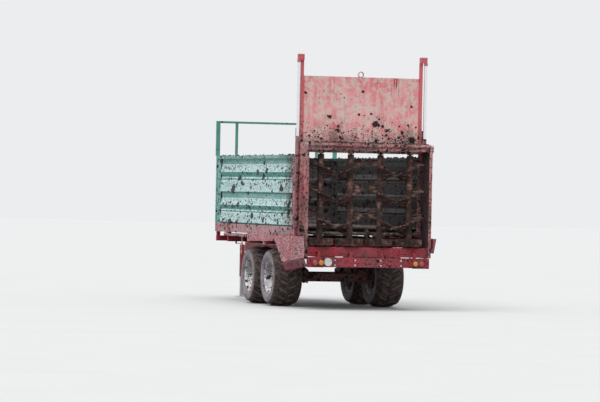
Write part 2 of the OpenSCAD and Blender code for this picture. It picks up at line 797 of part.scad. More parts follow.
module tyre(x, s)
  color("#4a4038")
    translate([xo + x, s * track_y, axle_z])
      rotate([90, 0, 0]) {
        rotate_extrude($fn = 60)
          polygon(concat(
            [for (r = tyre_rows) [r[0], r[1] * tyre_w]],
            [for (i = [len(tyre_rows) - 1:-1:0]) [tyre_rows[i][0], -tyre_rows[i][1] * tyre_w]],
            [[rim_r, -0.36 * tyre_w], [0.90 * tyre_r, -0.30 * tyre_w], [0.90 * tyre_r, 0.30 * tyre_w],
              [rim_r, 0.36 * tyre_w]]
          ));
        // chevron lugs, one row a side, half a step apart
        for (k = [0:lug_n - 1], t = [1, -1])
          rotate([0, 0, 360 / lug_n * (k + (t > 0 ? 0 : 0.5))])
            translate([lug_top - lug_h, 0, t * 0.2 * tyre_w])
              rotate([t * lug_turn, 0, 0])
                translate([0, -lug_w / 2, -lug_l / 2])
                  cube([lug_h, lug_w, lug_l]);
      }

module tyre_rear_left()
  tyre(axle_x, 1);

module tyre_rear_right()
  tyre(axle_x, -1);

module tyre_front_left()
  tyre(axle_x1, 1);

module tyre_front_right()
  tyre(axle_x1, -1);

// Rim: barrel with two flanges, dished disc with hand holes, and the hub on the spindle
rim_w = 240;
dish_w = 110;
hole_n = 10;
hole_r = 28;
hole_at = 232;

module rim(x, s)
  color("#b9bcbd")
    translate([xo + x, s * track_y, axle_z])
      side(s)
        rotate([90, 0, 0])
          difference() {
            union() {
              rotate_extrude($fn = 72)
                polygon([[rim_r - 10, 18 - rim_w], [rim_r + 12, -rim_w], [rim_r + 18, -rim_w],
                  [rim_r, 21 - rim_w], [rim_r, rim_w - 21], [rim_r + 18, rim_w],
                  [rim_r + 12, rim_w], [rim_r - 10, rim_w - 18]]);
              rotate_extrude($fn = 72)
                polygon([[60, 48 - dish_w], [150, 48 - dish_w], [200, -dish_w],
                  [rim_r - 5, -dish_w], [rim_r - 5, 12 - dish_w], [206, 12 - dish_w],
                  [156, 60 - dish_w], [60, 60 - dish_w]]);
              translate([0, 0, -90])
                cylinder(r = 72, h = 170, $fn = 48);
            }
            for (k = [0:hole_n - 1])
              rotate([0, 0, 360 / hole_n * k])
                translate([hole_at, 0, -dish_w - 10])
                  cylinder(r = hole_r, h = 40, $fn = 32);
            translate([0, 0, -40])
              cylinder(r = hub_r + run, h = 140, $fn = 48);
          }

module rim_rear_left()
  rim(axle_x, 1);

module rim_rear_right()
  rim(axle_x, -1);

module rim_front_left()
  rim(axle_x1, 1);

module rim_front_right()
  rim(axle_x1, -1);

// Drawbar: the plan's V cut by the side view's slope
module drawbar()
  color("#a3453f")
    translate([xo, 0, 0]) {
      intersection() {
        translate([0, 0, 400])
          linear_extrude(height = 900)
            difference() {
              polygon([[bar_x0, leg_y0], [box_x1, leg_y0], [bar_x1, leg_y1],
                [bar_x1, -leg_y1], [box_x1, -leg_y0], [bar_x0, -leg_y0]]);
              polygon([[bar_x0 - 1, rail_y - 50], [box_x1 - 25, rail_y - 50], [bar_x1 - 240, 40],
                [bar_x1 - 240, -40], [box_x1 - 25, -rail_y + 50], [bar_x0 - 1, -rail_y + 50]]);
            }
        along_y([[bar_x0, rail_z - 130], [box_x1 + 100, rail_z - 130], [bar_x1, eye_z - 90],
          [bar_x1, eye_z + 90], [box_x1 + 100, rail_z], [bar_x0, rail_z]], -700, 700);
      }
      // cross plate between the legs
      blk(plate_x, plate_x + 80, 20 - leg_y(plate_x + 80), leg_y(plate_x + 80) - 20,
        leg_bottom(plate_x) + 30, leg_bottom(plate_x) + 130);
      // seat of the jack on the left leg
      blk(jack_x - 70, jack_x + 70, leg_y(jack_x + 70) - 60, jack_y - jack_a / 2,
        leg_bottom(jack_x) + 55, leg_top(jack_x) - 5);
      // end plate for the ring
      blk(bar_x1 - 1, bar_x1 + 24, -95, 95, eye_z - 90, eye_z + 90);
    }

// Hitch: flange, shank and the ring, its outer radius and thickness
ring_r = 55;
ring_t = 30;

module hitch_ring()
  color("#6a6663")
    translate([xo, 0, 0])
      difference() {
        union() {
          blk(bar_x1 + 24, bar_x1 + 50, -85, 85, eye_z - 80, eye_z + 80);
          blk(bar_x1 + 49, eye_x - 2 * ring_r + 10, -30, 30, eye_z - 22, eye_z + 22);
          translate([eye_x - ring_r, 0, eye_z - ring_t / 2])
            cylinder(r = ring_r, h = ring_t, $fn = 64);
        }
        translate([eye_x - ring_r, 0, eye_z - 40])
          cylinder(r = eye_r, h = 80, $fn = 64);
      }

// Jack: hollow outer tube from its lower to its upper end, and the inner leg with its foot
jack_t = 5;
jack_z0 = 400;
jack_z1 = 1035;
leg_a = jack_a - 2 * jack_t - 2 * jack_gap;
leg_z1 = 700;
foot_a = 220;

module jack_tube()
  color("#8f3f3b")
    translate([xo + jack_x, jack_y, 0]) {
      difference() {
        blk(-jack_a / 2, jack_a / 2, -jack_a / 2, jack_a / 2, jack_z0, jack_z1);
        blk(-jack_a / 2 + jack_t, jack_a / 2 - jack_t, -jack_a / 2 + jack_t, jack_a / 2 - jack_t,
          jack_z0 - 1, jack_z1 - 20);
      }
      // crank on top
      translate([0, 0, jack_z1 - 1])
        cylinder(r = 12, h = 26, $fn = 32);
      blk(-10, 10, -10, 140, jack_z1 + 15, jack_z1 + 27);
      translate([0, 130, jack_z1 + 21])
        cylinder(r = 11, h = 90, $fn = 32);
    }

module jack_leg()
  color("#9a9c9c")
    translate([xo + jack_x, jack_y, 0]) {
      blk(-leg_a / 2, leg_a / 2, -leg_a / 2, leg_a / 2, 10, leg_z1);
      blk(-foot_a / 2, foot_a / 2, -foot_a / 2, foot_a / 2, 0, 12);
    }

// Input housing at the front cross tube, input shaft, and the line back to the drive beam
module driveline()
  color("#55585a")
    translate([xo, 0, 0]) {
      blk(box_x1 + 20, box_x1 + 140, -90, 90, line_z - 90, line_z + 90);
      bar_x(0, line_z, 50, box_x1 + 139, box_x1 + 170);
      bar_x(0, line_z, pto_r, box_x1 + 169, box_x1 + 260, 64);
      bar_x(0, line_z, 30, 505, box_x1 + 21);
      for (x = [cradles[1], cradles[3], cradles[4]])
        blk(x + 20, x + 60, -60, 60, line_z - 50, cradle_z);
    }

// Nearer side of each chain from the centre line, the same on the left and the right
chain_ys = [150, 970];

// Stadium round the two shafts, drawn along Y from y0 to y1
module stadium(r, y0, y1) {
  blk(conv_x, conv_x1, y0, y1, shaft_z - r, shaft_z + r);
  bar_y(conv_x, shaft_z, r, y0, y1);
  bar_y(conv_x1, shaft_z, r, y0, y1);
}

// Floor conveyor: four chains round both shafts, the eye of each link open in both runs,
// and two rows of slats on each run
module conveyor()
  color("#77736c")
    translate([xo, 0, 0])
      for (s = [1, -1])
        side(s) {
          for (y = chain_ys)
            difference() {
              stadium(chain_r + chain_t, y, y + chain_w);
              stadium(chain_r, y - 1, y + chain_w + 1);
              for (x = [conv_x + slat_gap / 2:link_p:conv_x1 - slot_l])
                blk(x, x + slot_l, y + 8, y + chain_w - 8,
                  shaft_z - chain_r - chain_t - 1, shaft_z + chain_r + chain_t + 1);
            }
          for (x = [conv_x + 60:slat_gap:conv_x1 - slat_w], z = [chain_r + 4, -chain_r - 4 - slat_t])
            blk(x, x + slat_w, slat_y0, slat_y1, shaft_z + z, shaft_z + z + slat_t);
        }

// Wheels of the four chains on a conveyor shaft
module chain_wheels(x)
  for (s = [1, -1], y = chain_ys)
    side(s)
      bar_y(x, shaft_z, chain_r, y + 3, y + chain_w - 3);

module shaft_rear()
  color("#6b6762")
    translate([xo, 0, 0]) {
      bar_y(conv_x, shaft_z, shaft_r, -1150, 1150);
      chain_wheels(conv_x);
    }

module shaft_front()
  color("#6b6762")
    translate([xo, 0, 0]) {
      bar_y(conv_x1, shaft_z, shaft_r, -1130, 1130);
      chain_wheels(conv_x1);
      // gear housing and motor at the right end, and bearing plates to the outer rails
      bar_y(conv_x1, shaft_z, 75, -1124, -1085);
      bar_y(conv_x1, shaft_z, 48, -wall_y + 8, -1123);
      bar_x(-1140, shaft_z, 45, conv_x1 + 60, conv_x1 + 230);
      blk(conv_x1 - 60, conv_x1 + 60, 1085, wall_y - 8, side_z + 8, shaft_z + 60);
    }

module reflectors()
  color("#e8a020")
    translate([xo, 0, 0])
      for (s = [1, -1])
        side(s) {
          bar_y(sign_x, sign_z, sign_r, wall_y + 7, wall_y + 13);
          blk(620, 700, skirt_y, skirt_y + 8, 1268, 1306);
        }

side_wall_left();
side_wall_right();
front_wall();
floor_deck();
front_frame();
chassis();
cross_beams();
side_rails();
portal_left();
portal_right();
gate_barrels();
gate();
gate_rods();
rear_unit();
drive_beam();
rotor_1();
rotor_2();
rotor_3();
rotor_4();
lamp_bar();
lamps_red();
lamps_amber();
sign_disc();
skirt_left();
skirt_right();
bogie_left();
bogie_right();
axle_rear();
axle_front();
tyre_rear_left();
tyre_rear_right();
tyre_front_left();
tyre_front_right();
rim_rear_left();
rim_rear_right();
rim_front_left();
rim_front_right();
drawbar();
hitch_ring();
jack_tube();
jack_leg();
driveline();
conveyor();
shaft_rear();
shaft_front();
reflectors();
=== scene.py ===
"""Towed manure spreader: paints, tyres, chains, small fittings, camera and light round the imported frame."""

import itertools
import logging
import math
import random
from dataclasses import dataclass
from enum import Enum
from typing import Callable, Iterable, NamedTuple, Sequence

import bmesh
import bpy
from mathutils import Matrix, Vector


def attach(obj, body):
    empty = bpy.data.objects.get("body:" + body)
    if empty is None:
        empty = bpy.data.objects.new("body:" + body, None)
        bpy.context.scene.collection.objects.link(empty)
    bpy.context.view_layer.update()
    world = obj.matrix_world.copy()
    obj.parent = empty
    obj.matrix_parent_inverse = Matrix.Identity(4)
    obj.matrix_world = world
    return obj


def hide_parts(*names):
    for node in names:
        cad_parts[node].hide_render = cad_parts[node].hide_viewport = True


LOG = logging.getLogger("spreader")

SHIFT = 4.070          # the rear unit's edge lies this far behind the origin
AXLES = {"rear": 2.210 - SHIFT, "front": 3.560 - SHIFT}
TRACK = 0.980
AXLE_Z = 0.535
SIDES = {"left": 1, "right": -1}
WHEELS = [(f"{end}_{side}", x, sign) for end, x in AXLES.items() for side, sign in SIDES.items()]

Thing = bpy.types.Object
Triple = tuple[float, float, float]
AHEAD: Triple = (1, 0, 0)
BACK: Triple = (-1, 0, 0)
OUT: Triple = (0, 1, 0)
IN: Triple = (0, -1, 0)
UP: Triple = (0, 0, 1)
DOWN: Triple = (0, 0, -1)


# Node graph

class Sock:
    """A socket of a node graph that takes part in Python expressions."""

    def __init__(self, graph: "Graph", socket: bpy.types.NodeSocket) -> None:
        """Keep the graph and the socket.

        Args:
            graph: the graph that the socket belongs to.
            socket: the output socket.
        """
        self.graph = graph
        self.socket = socket

    def _math(self, operation: str, *values: object) -> "Sock":
        """Add a Math node.

        Args:
            operation: the Math node's operation.
            values: its inputs in order.

        Returns:
            The node's result.
        """
        return self.graph.add("ShaderNodeMath", {"operation": operation}, dict(enumerate(values)))

    def __add__(self, other: object) -> "Sock":
        """Return the sum."""
        return self._math("ADD", self, other)

    __radd__ = __add__

    def __mul__(self, other: object) -> "Sock":
        """Return the product."""
        return self._math("MULTIPLY", self, other)

    __rmul__ = __mul__

    def __sub__(self, other: object) -> "Sock":
        """Return the difference."""
        return self._math("SUBTRACT", self, other)

    def __rsub__(self, other: object) -> "Sock":
        """Return the other value less this one."""
        return self._math("SUBTRACT", other, self)

    def abs(self) -> "Sock":
        """Return the absolute value."""
        return self._math("ABSOLUTE", self)

    def root(self) -> "Sock":
        """Return the square root."""
        return self._math("SQRT", self)

    def most(self, other: object) -> "Sock":
        """Return the larger of two values."""
        return self._math("MAXIMUM", self, other)

    def least(self, other: object) -> "Sock":
        """Return the smaller of two values."""
        return self._math("MINIMUM", self, other)

    def step(self, low: float, high: float) -> "Sock":
        """Ease from 0 at low to 1 at high.

        Args:
            low: the value that gives 0.
            high: the value that gives 1; below low it turns the ramp round.

        Returns:
            The eased value between 0 and 1.
        """
        if low > high:
            return 1 - self.step(high, low)
        return self.graph.add("ShaderNodeMapRange", {"interpolation_type": "SMOOTHSTEP"},
                              {"Value": self, "From Min": low, "From Max": high})

    def other(self, name: str) -> "Sock":
        """Return another output of the same node."""
        return Sock(self.graph, self.socket.node.outputs[name])


class Graph:
    """Node graph of a world or a material."""

    def __init__(self, tree: bpy.types.NodeTree) -> None:
        """Take over a node tree and empty it.

        Args:
            tree: the node tree.
        """
        self.tree = tree
        tree.nodes.clear()

    def add(self, kind: str, settings: dict[str, object], inputs: dict[object, object],
            out: str | int = 0) -> Sock:
        """Add a node.

        Args:
            kind: the node's type.
            settings: attributes that are set first.
            inputs: values or links by the socket's name or number.
            out: the output that is returned.

        Returns:
            The wrapped output socket.
        """
        node = self.tree.nodes.new(kind)
        for key, value in settings.items():
            setattr(node, key, value)
        for key, value in inputs.items():
            socket = node.inputs[key]
            if isinstance(value, Sock):
                self.tree.links.new(value.socket, socket)
            elif socket.type == "RGBA":
                socket.default_value = (*value, 1.0)
            else:
                socket.default_value = value
        return Sock(self, node.outputs[out])

    def seen(self) -> Sock:
        """Return 1 for rays from the eye, straight, mirrored or through glass, and 0 for others."""
        eye = self.add("ShaderNodeLightPath", {}, {}, "Is Camera Ray")
        return eye.most(eye.other("Is Glossy Ray")).most(eye.other("Is Transmission Ray"))

    def close(self, kind: str, shader: Sock) -> None:
        """Link a shader to a new output node.

        Args:
            kind: the output node's type.
            shader: the shader.
        """
        self.tree.links.new(shader.socket, self.tree.nodes.new(kind).inputs["Surface"])


class Surface(Graph):
    """Node graph of one material, with the few patterns that the finishes use."""

    def __init__(self, name: str) -> None:
        """Start an empty material.

        Args:
            name: the material's name.
        """
        self.material = bpy.data.materials.new(name)
        self.material.use_nodes = True
        super().__init__(self.material.node_tree)
        self.place = self.add("ShaderNodeTexCoord", {}, {}, "Object")

    def axis(self, name: str) -> Sock:
        """Return one coordinate, X, Y or Z, in metres of the machine's frame."""
        return self.add("ShaderNodeSeparateXYZ", {}, {0: self.place}, name)

    def facing(self, name: str) -> Sock:
        """Return how far the surface faces along X, Y or Z, from -1 to 1."""
        return self.add("ShaderNodeSeparateXYZ", {}, {0: self.place.other("Normal")}, name)

    def noise(self, scale: float, detail: float = 4.0, rough: float = 0.55,
              stretch: Triple = (1.0, 1.0, 1.0), move: Triple = (0.0, 0.0, 0.0)) -> Sock:
        """Return fractal noise between about 0.3 and 0.7.

        Args:
            scale: lumps per metre.
            detail: octaves.
            rough: share of the fine octaves.
            stretch: scale along each axis.
            move: an offset of the pattern.

        Returns:
            The noise value.
        """
        where = self.add("ShaderNodeMapping", {},
                         {"Vector": self.place, "Scale": stretch, "Location": move})
        return self.add("ShaderNodeTexNoise", {},
                        {"Vector": where, "Scale": scale, "Detail": detail, "Roughness": rough})

    def _vector(self, operation: str, *values: object) -> Sock:
        """Add a Vector Math node.

        Args:
            operation: the node's operation.
            values: its inputs in order.

        Returns:
            The node's result.
        """
        return self.add("ShaderNodeVectorMath", {"operation": operation}, dict(enumerate(values)))

    def splats(self, scale: float, size: float, share: object, move: float = 0.0) -> Sock:
        """Return a mask of scattered, ragged spots that are drawn out along X.

        Args:
            scale: cells per metre.
            size: radius of the largest spot as a share of a cell.
            share: share of the cells that hold a spot, a number or a link.
            move: an offset that gives each layer its own spots.

        Returns:
            1 in the spots and 0 elsewhere.
        """
        drawn = self._vector("MULTIPLY", self.place, (0.55, 1.0, 1.0))
        warp = self.add("ShaderNodeTexNoise", {},
                        {"Vector": drawn, "Scale": scale * 2.4, "Detail": 3.0, "Roughness": 0.6}, "Color")
        ragged = self._vector("MULTIPLY_ADD", warp, (0.75 / scale,) * 3, drawn)
        moved = self._vector("ADD", ragged, (move, -move, move))
        cell = self.add("ShaderNodeTexVoronoi", {"feature": "F1"}, {"Vector": moved, "Scale": scale},
                        "Color")
        chance = self.add("ShaderNodeSeparateXYZ", {}, {0: cell}, "X")
        large = chance.other("Y")
        radius = (chance + share - 1).step(0.0, 0.03) * (large * large * 0.7 + 0.3) * size
        return (radius - cell.other("Distance")).step(0.0, size * 0.16)

    def mix(self, first: object, second: object, mask: object) -> Sock:
        """Blend two colours.

        Args:
            first: colour or link where the mask is 0.
            second: colour or link where the mask is 1.
            mask: the factor.

        Returns:
            The blended colour.
        """
        return self.add("ShaderNodeMix", {"data_type": "RGBA"}, {0: mask, 6: first, 7: second}, 2)

    def bump(self, height: Sock, strength: float, depth: float, under: Sock | None = None) -> Sock:
        """Turn a height into a normal.

        Args:
            height: the height between 0 and 1.
            strength: the node's strength.
            depth: the height's depth in metres.
            under: a normal that this bump adds to.

        Returns:
            The normal.
        """
        inputs: dict[object, object] = {"Height": height, "Strength": strength, "Distance": depth}
        if under is not None:
            inputs["Normal"] = under
        return self.add("ShaderNodeBump", {}, inputs, "Normal")

    def finish(self, colour: object, rough: object, normal: Sock, metal: object = 0.0,
               fixed: dict[str, object] | None = None) -> bpy.types.Material:
        """Close the graph with a Principled shader.

        Args:
            colour: base colour.
            rough: roughness.
            normal: the bumped normal.
            metal: metallic value.
            fixed: other sockets and their plain values.

        Returns:
            The material.
        """
        inputs: dict[object, object] = {"Base Color": colour, "Roughness": rough, "Metallic": metal,
                                        "Normal": normal, **(fixed or {})}
        self.close("ShaderNodeOutputMaterial", self.add("ShaderNodeBsdfPrincipled", {}, inputs))
        return self.material


# Finishes

CLOD = (0.013, 0.008, 0.009)
MUD = (0.070, 0.047, 0.048)
EARTH = (0.200, 0.145, 0.130)
STRAW = (0.270, 0.205, 0.110)
RUST = (0.150, 0.044, 0.018)


@dataclass(frozen=True)
class Paint:
    """Weathered machine paint: fading, mottling, dust on what faces up that is partly a painted highlight,
    painted shade on what faces down and past edge_y, runs, chips and splashes.
    """

    name: str
    fresh: Triple
    faded: Triple
    # dusty: the pale colour on upward faces, partly dust and partly a painted highlight of the sky-lit tops
    dusty: Triple
    # shade: painted shade, the colour that downward faces and the gate's edges past edge_y are darkened
    # towards
    shade: Triple
    fade: float = 0.5
    dust: float = 0.5
    mottle: float = 0.0
    patch: Triple = EARTH
    patches: float = 4.0
    splash: float = 0.3
    soil: float = 0.3
    rear_dirt: float = 0.5
    inside: float = 0.0
    chips: float = 0.4
    low_z: float = 0.0
    high_z: float = 1.0
    # fold_z and its colour: the skirt's under-turned band, partly cleaner paint and partly painted shade
    fold_z: float = -1.0
    fold_shade: Triple = (0.31, 0.038, 0.074)
    edge_y: float = 9.0
    stain: Triple = (0.0, 0.0, 9.0)
    rough: float = 0.5

    def make(self) -> bpy.types.Material:
        """Build the material.

        Returns:
            The material.
        """
        g = Surface(self.name)
        fine = g.noise(46.0, 4.0, 0.65)
        lumps = g.noise(8.0, 5.0, 0.65, move=(2.0, 7.0, 4.0))
        cloud = g.noise(1.3, 5.0, 0.6)
        streak = g.noise(1.0, 4.0, 0.6, (11.0, 11.0, 0.8))
        fade = (cloud * 0.6 + streak * 0.6).step(0.42, 0.78) * self.fade
        # past edge_y the paint shows little wear or fading and is darkened towards the shade colour: painted
        # shade on the gate's stiles and caps
        worn_unshaded = g.axis("Y").abs().step(self.edge_y + 0.010, self.edge_y - 0.010) * 0.8 + 0.2
        colour = self._blotched(g, fine, fade, worn_unshaded)
        # dust lies on what faces up; there its pale colour is partly dust and partly a painted highlight
        # standing for the sky's light on the upward faces
        up = g.facing("Z")
        settled = up.step(0.01, 0.09) * (lumps * 0.7 + streak * 0.5).step(0.28, 0.60) * self.dust
        film = (cloud * 0.6 + fine * 0.5).step(0.42, 0.72) * up.step(-0.10, 0.0) * self.dust * 0.35
        pale = g.mix(self.dusty, tuple(min(c * 1.3, 0.97) for c in self.dusty), fine.step(0.48, 0.60))
        colour = g.mix(colour, pale, (settled + film).least(1.0) * worn_unshaded)
        # what faces down is darkened to the shade colour: painted shade
        colour = g.mix(colour, self.shade, up.step(-0.04, -0.20) * 0.85)
        colour = self._rusted(g, colour)
        # soil from the wheels gathers low down, spray from the rotors at the rear
        rear = g.axis("X").step(-1.6, -3.6) * self.rear_dirt
        low = g.axis("Z").step(self.high_z, self.low_z) * self.soil
        inner = self._inner(g)
        earth = g.noise(3.3, 6.0, 0.70, (1.0, 1.0, 0.7), (5.0, 2.0, 1.0))
        grime = ((earth - 0.5) * 1.8 + low * 0.6 + rear * 0.7 + inner).step(0.12, 0.80)
        soiled = g.mix(EARTH, MUD, (fine * 0.6 + earth * 0.5 + inner * 0.25).step(0.50, 0.72))
        colour = g.mix(colour, soiled, (inner * 0.15 + 0.80) * grime)
        # below fold_z the skirt's lower band turns under: a darker, cleaner red, partly paint without dust
        # and partly painted shade of the downward-facing band
        folded = g.axis("Z").step(self.fold_z + 0.012, self.fold_z - 0.012)
        colour = g.mix(colour, self.fold_shade, folded * 0.92)
        near = ((g.noise(0.8, 3.0, 0.6, move=(9.0, 4.0, 7.0)) - 0.5) * 0.9
                + rear * 0.55 + low * 0.9 + inner * 0.3 + self.splash).most(0.0)
        wet = g.splats(5.5, 0.42, near * 0.6).most(g.splats(13.0, 0.48, near * 0.9, 3.7))
        wet = wet.most(g.splats(30.0, 0.52, near, 8.1)).most(g.splats(60.0, 0.54, near * 1.2, 5.3))
        colour = g.mix(colour, g.mix(CLOD, MUD, lumps.step(0.52, 0.68) * 0.8), wet * 0.97)
        rough = (grime * 0.30 + fade * 0.12 + wet * 0.1 + self.rough).least(0.95)
        bumps = g.bump(wet + grime * fine, 0.7, 0.006)
        bumps = g.bump(fine * 0.6 + g.noise(170.0, 2.0) * 0.4, 0.10, 0.001, bumps)
        return g.finish(colour, rough, bumps, fixed={"Specular IOR Level": 0.22})

    def _blotched(self, g: Surface, fine: Sock, fade: Sock, worn_unshaded: Sock) -> Sock:
        """Return the paint: faded, with blotches where one tone shows through the other, and darkened past
        edge_y as painted shade.

        Args:
            g: the material's graph.
            fine: fine noise.
            fade: how far the paint has faded.
            worn_unshaded: how far the surface shows wear; past edge_y it is low, and there the paint is
                darkened towards the shade colour as painted shade.

        Returns:
            The colour.
        """
        colour = g.mix(self.fresh, self.faded, fade * worn_unshaded)
        blotch = g.noise(self.patches, 6.0, 0.70, move=(6.0, 1.0, 3.0)) * 0.8 + fine * 0.2
        colour = g.mix(colour, self.patch, blotch.step(0.47, 0.55) * worn_unshaded * self.mottle)
        # past edge_y the paint is darkened towards the shade colour: painted shade of the gate's stiles and
        # caps
        return g.mix(colour, self.shade, (1 - worn_unshaded) * 0.7)

    def _rusted(self, g: Surface, colour: Sock) -> Sock:
        """Add rust where the paint is chipped, runs below the chips, and one stained patch.

        Args:
            g: the material's graph.
            colour: the paint.

        Returns:
            The colour.
        """
        chip = (g.noise(19.0, 6.0, 0.72) - 0.58).step(0.0, 0.05) * self.chips
        run = g.noise(1.0, 3.0, 0.6, (34.0, 34.0, 1.3), (3.0, 1.0, 2.0)).step(0.60, 0.70)
        z = g.axis("Z")
        y, half, top = self.stain
        stained = ((g.axis("Y") - y).abs().step(half, half * 0.7) * z.step(top - 0.46, top - 0.26)
                   * z.step(top + 0.01, top - 0.02) * run)
        return g.mix(colour, RUST, (chip + run * self.chips * 0.5 + stained * 0.85).least(1.0))

    def _inner(self, g: Surface) -> Sock:
        """Return a mask of the surfaces that look into the load space.

        Args:
            g: the material's graph.

        Returns:
            The mask, times how dirty the inside is.
        """
        x, out = g.axis("X"), g.axis("Y").abs()
        # the box between its side walls, but not the front wall's front
        box = (out.step(1.158, 1.150) * g.axis("Z").step(1.36, 1.42) * x.step(-3.28, -3.26)
               * g.facing("X").step(0.3, 0.1))
        sides = (g.facing("Y") * g.axis("Y")).step(-0.05, -0.4)
        front = g.facing("X").step(-0.1, -0.3) * x.step(1.6, 1.7) * out.step(1.200, 1.195)
        return sides.most(box).most(front) * self.inside


@dataclass(frozen=True)
class Coated:
    """Bare or running steel with a coat of dry manure or soil."""

    name: str
    steel: Triple
    coat: Triple
    cover: float = 0.5
    metal: float = 0.6
    rough: float = 0.5

    def make(self) -> bpy.types.Material:
        """Build the material.

        Returns:
            The material.
        """
        g = Surface(self.name)
        lumps = g.noise(9.0, 7.0, 0.7)
        fine = g.noise(70.0, 4.0, 0.6)
        cover = (lumps * 0.75 + fine * 0.3).step(0.66 - self.cover * 0.4, 0.80 - self.cover * 0.4)
        scrape = g.noise(1.0, 3.0, 0.6, (4.0, 90.0, 90.0))
        steel = g.mix(self.steel, RUST, (g.noise(24.0, 5.0, 0.7) - 0.5).step(0.0, 0.10) * 0.6)
        steel = g.mix(steel, tuple(c * 1.5 for c in self.steel), scrape.step(0.55, 0.72) * 0.5)
        coat = g.mix(self.coat, tuple(c * 2.1 for c in self.coat), fine.step(0.42, 0.66))
        coat = g.mix(coat, STRAW, g.noise(1.0, 5.0, 0.8, (160.0, 22.0, 60.0)).step(0.62, 0.70) * 0.5)
        bare = 1 - cover
        bumps = g.bump(cover * (lumps * 0.6 + fine * 0.4), 0.7, 0.006)
        return g.finish(g.mix(steel, coat, cover), cover * 0.4 + self.rough, bumps, bare * self.metal,
                        {"Specular IOR Level": 0.25})


@dataclass(frozen=True)
class Bright:
    """Clean hard surface: chrome, zinc, forged steel."""

    name: str
    colour: Triple
    rough: float
    metal: float = 1.0
    smear: float = 0.2

    def make(self) -> bpy.types.Material:
        """Build the material.

        Returns:
            The material.
        """
        g = Surface(self.name)
        smear = g.noise(1.0, 4.0, 0.6, (40.0, 40.0, 2.5)).step(0.50, 0.70) * self.smear
        specks = g.splats(40.0, 0.30, 0.35) * self.smear * 2
        dirt = (smear + specks).least(1.0)
        colour = g.mix(self.colour, EARTH, dirt * 0.8)
        return g.finish(colour, dirt * 0.5 + self.rough, g.bump(dirt, 0.2, 0.001), (1 - dirt) * self.metal)


@dataclass(frozen=True)
class Lens:
    """Moulded lamp lens with fine ribs under a dusty face."""

    name: str
    colour: Triple

    def make(self) -> bpy.types.Material:
        """Build the material.

        Returns:
            The material.
        """
        g = Surface(self.name)
        ribs = g.add("ShaderNodeTexWave", {"bands_direction": "Y"},
                     {"Vector": g.place, "Scale": 55.0, "Distortion": 0.0}, "Fac")
        dust = g.noise(14.0, 5.0, 0.7).step(0.42, 0.70)
        colour = g.mix(g.mix(self.colour, EARTH, dust * 0.35), CLOD, g.splats(60.0, 0.30, 0.4) * 0.9)
        return g.finish(colour, dust * 0.5 + 0.16, g.bump(ribs, 0.5, 0.0015), 0.0,
                        {"Coat Weight": 0.4, "Specular IOR Level": 0.6})


@dataclass(frozen=True)
class Rubber:
    """Tyre rubber: a dusty side wall, and field soil and straw packed on the tread."""

    name: str
    side: Triple = (0.345, 0.300, 0.330)
    scuffed: Triple = (0.200, 0.145, 0.150)
    soil: float = 0.6

    def make(self) -> bpy.types.Material:
        """Build the material.

        Returns:
            The material.
        """
        g = Surface(self.name)
        x, z = g.axis("X"), g.axis("Z") - AXLE_Z
        rear, front = x - AXLES["rear"], x - AXLES["front"]
        radius = (rear * rear).least(front * front) + z * z
        tread = radius.root().step(0.430, 0.495)
        lumps = g.noise(11.0, 7.0, 0.68)
        fine = g.noise(62.0, 4.0, 0.65)
        rubber = g.mix((0.040, 0.037, 0.040), self.side, (lumps * 0.6 + fine * 0.5).step(0.38, 0.62))
        soil = g.mix(CLOD, MUD, (lumps * 0.6 + fine * 0.45).step(0.40, 0.55))
        soil = g.mix(soil, EARTH, (lumps * 0.5 + fine * 0.55).step(0.48, 0.58) * 0.9)
        cover = (lumps * 0.8 + fine * 0.25 + tread * 0.42 - 0.28 + (self.soil - 0.5) * 0.5).step(0.42, 0.58)
        # the lugs' tops are scuffed and dusty, the grooves between them packed and damp
        groove, crown = radius.root().step(0.522, 0.510) * tread, radius.root().step(0.522, 0.530)
        soil = g.mix(g.mix(soil, CLOD, groove * 0.3), self.scuffed, crown * 0.6)
        colour = g.mix(rubber, soil, cover)
        straw = g.noise(1.0, 4.0, 0.8, (90.0, 40.0, 20.0)).step(0.58, 0.64) * cover
        colour = g.mix(colour, STRAW, straw * 0.75)
        colour = g.mix(colour, CLOD, g.splats(17.0, 0.32, 0.45, 2.2) * 0.9)
        bumps = g.bump(cover * (lumps * 0.7 + fine * 0.5), 0.8, 0.006)
        return g.finish(colour, cover * 0.22 + 0.70, bumps)


@dataclass(frozen=True)
class Plain:
    """Moulded rubber or plastic trim and the sign's face."""

    name: str
    colour: Triple
    rough: float = 0.5
    dust: float = 0.3

    def make(self) -> bpy.types.Material:
        """Build the material.

        Returns:
            The material.
        """
        g = Surface(self.name)
        dust = (g.noise(12.0, 6.0, 0.7) * 0.7 + g.noise(60.0, 3.0) * 0.4).step(0.46, 0.66) * self.dust
        wet = g.splats(30.0, 0.30, 0.35) * self.dust * 1.6
        colour = g.mix(g.mix(self.colour, EARTH, dust), CLOD, wet.least(1.0))
        bumps = g.bump(g.noise(120.0, 3.0) * 0.4 + dust, 0.2, 0.001)
        return g.finish(colour, dust * 0.3 + self.rough, bumps)


@dataclass(frozen=True)
class Dung:
    """Clods of manure: dark, rough and shot through with straw."""

    name: str

    def make(self) -> bpy.types.Material:
        """Build the material.

        Returns:
            The material.
        """
        g = Surface(self.name)
        lumps = g.noise(60.0, 5.0, 0.7)
        straw = g.noise(1.0, 4.0, 0.8, (240.0, 60.0, 110.0)).step(0.60, 0.68)
        colour = g.mix(g.mix(CLOD, MUD, lumps.step(0.42, 0.62)), STRAW, straw * 0.7)
        return g.finish(colour, lumps * 0.2 + 0.72, g.bump(lumps, 0.9, 0.004))


# painted shade colour of the lower red parts and the running gear
RED_SHADE = (0.150, 0.022, 0.030)


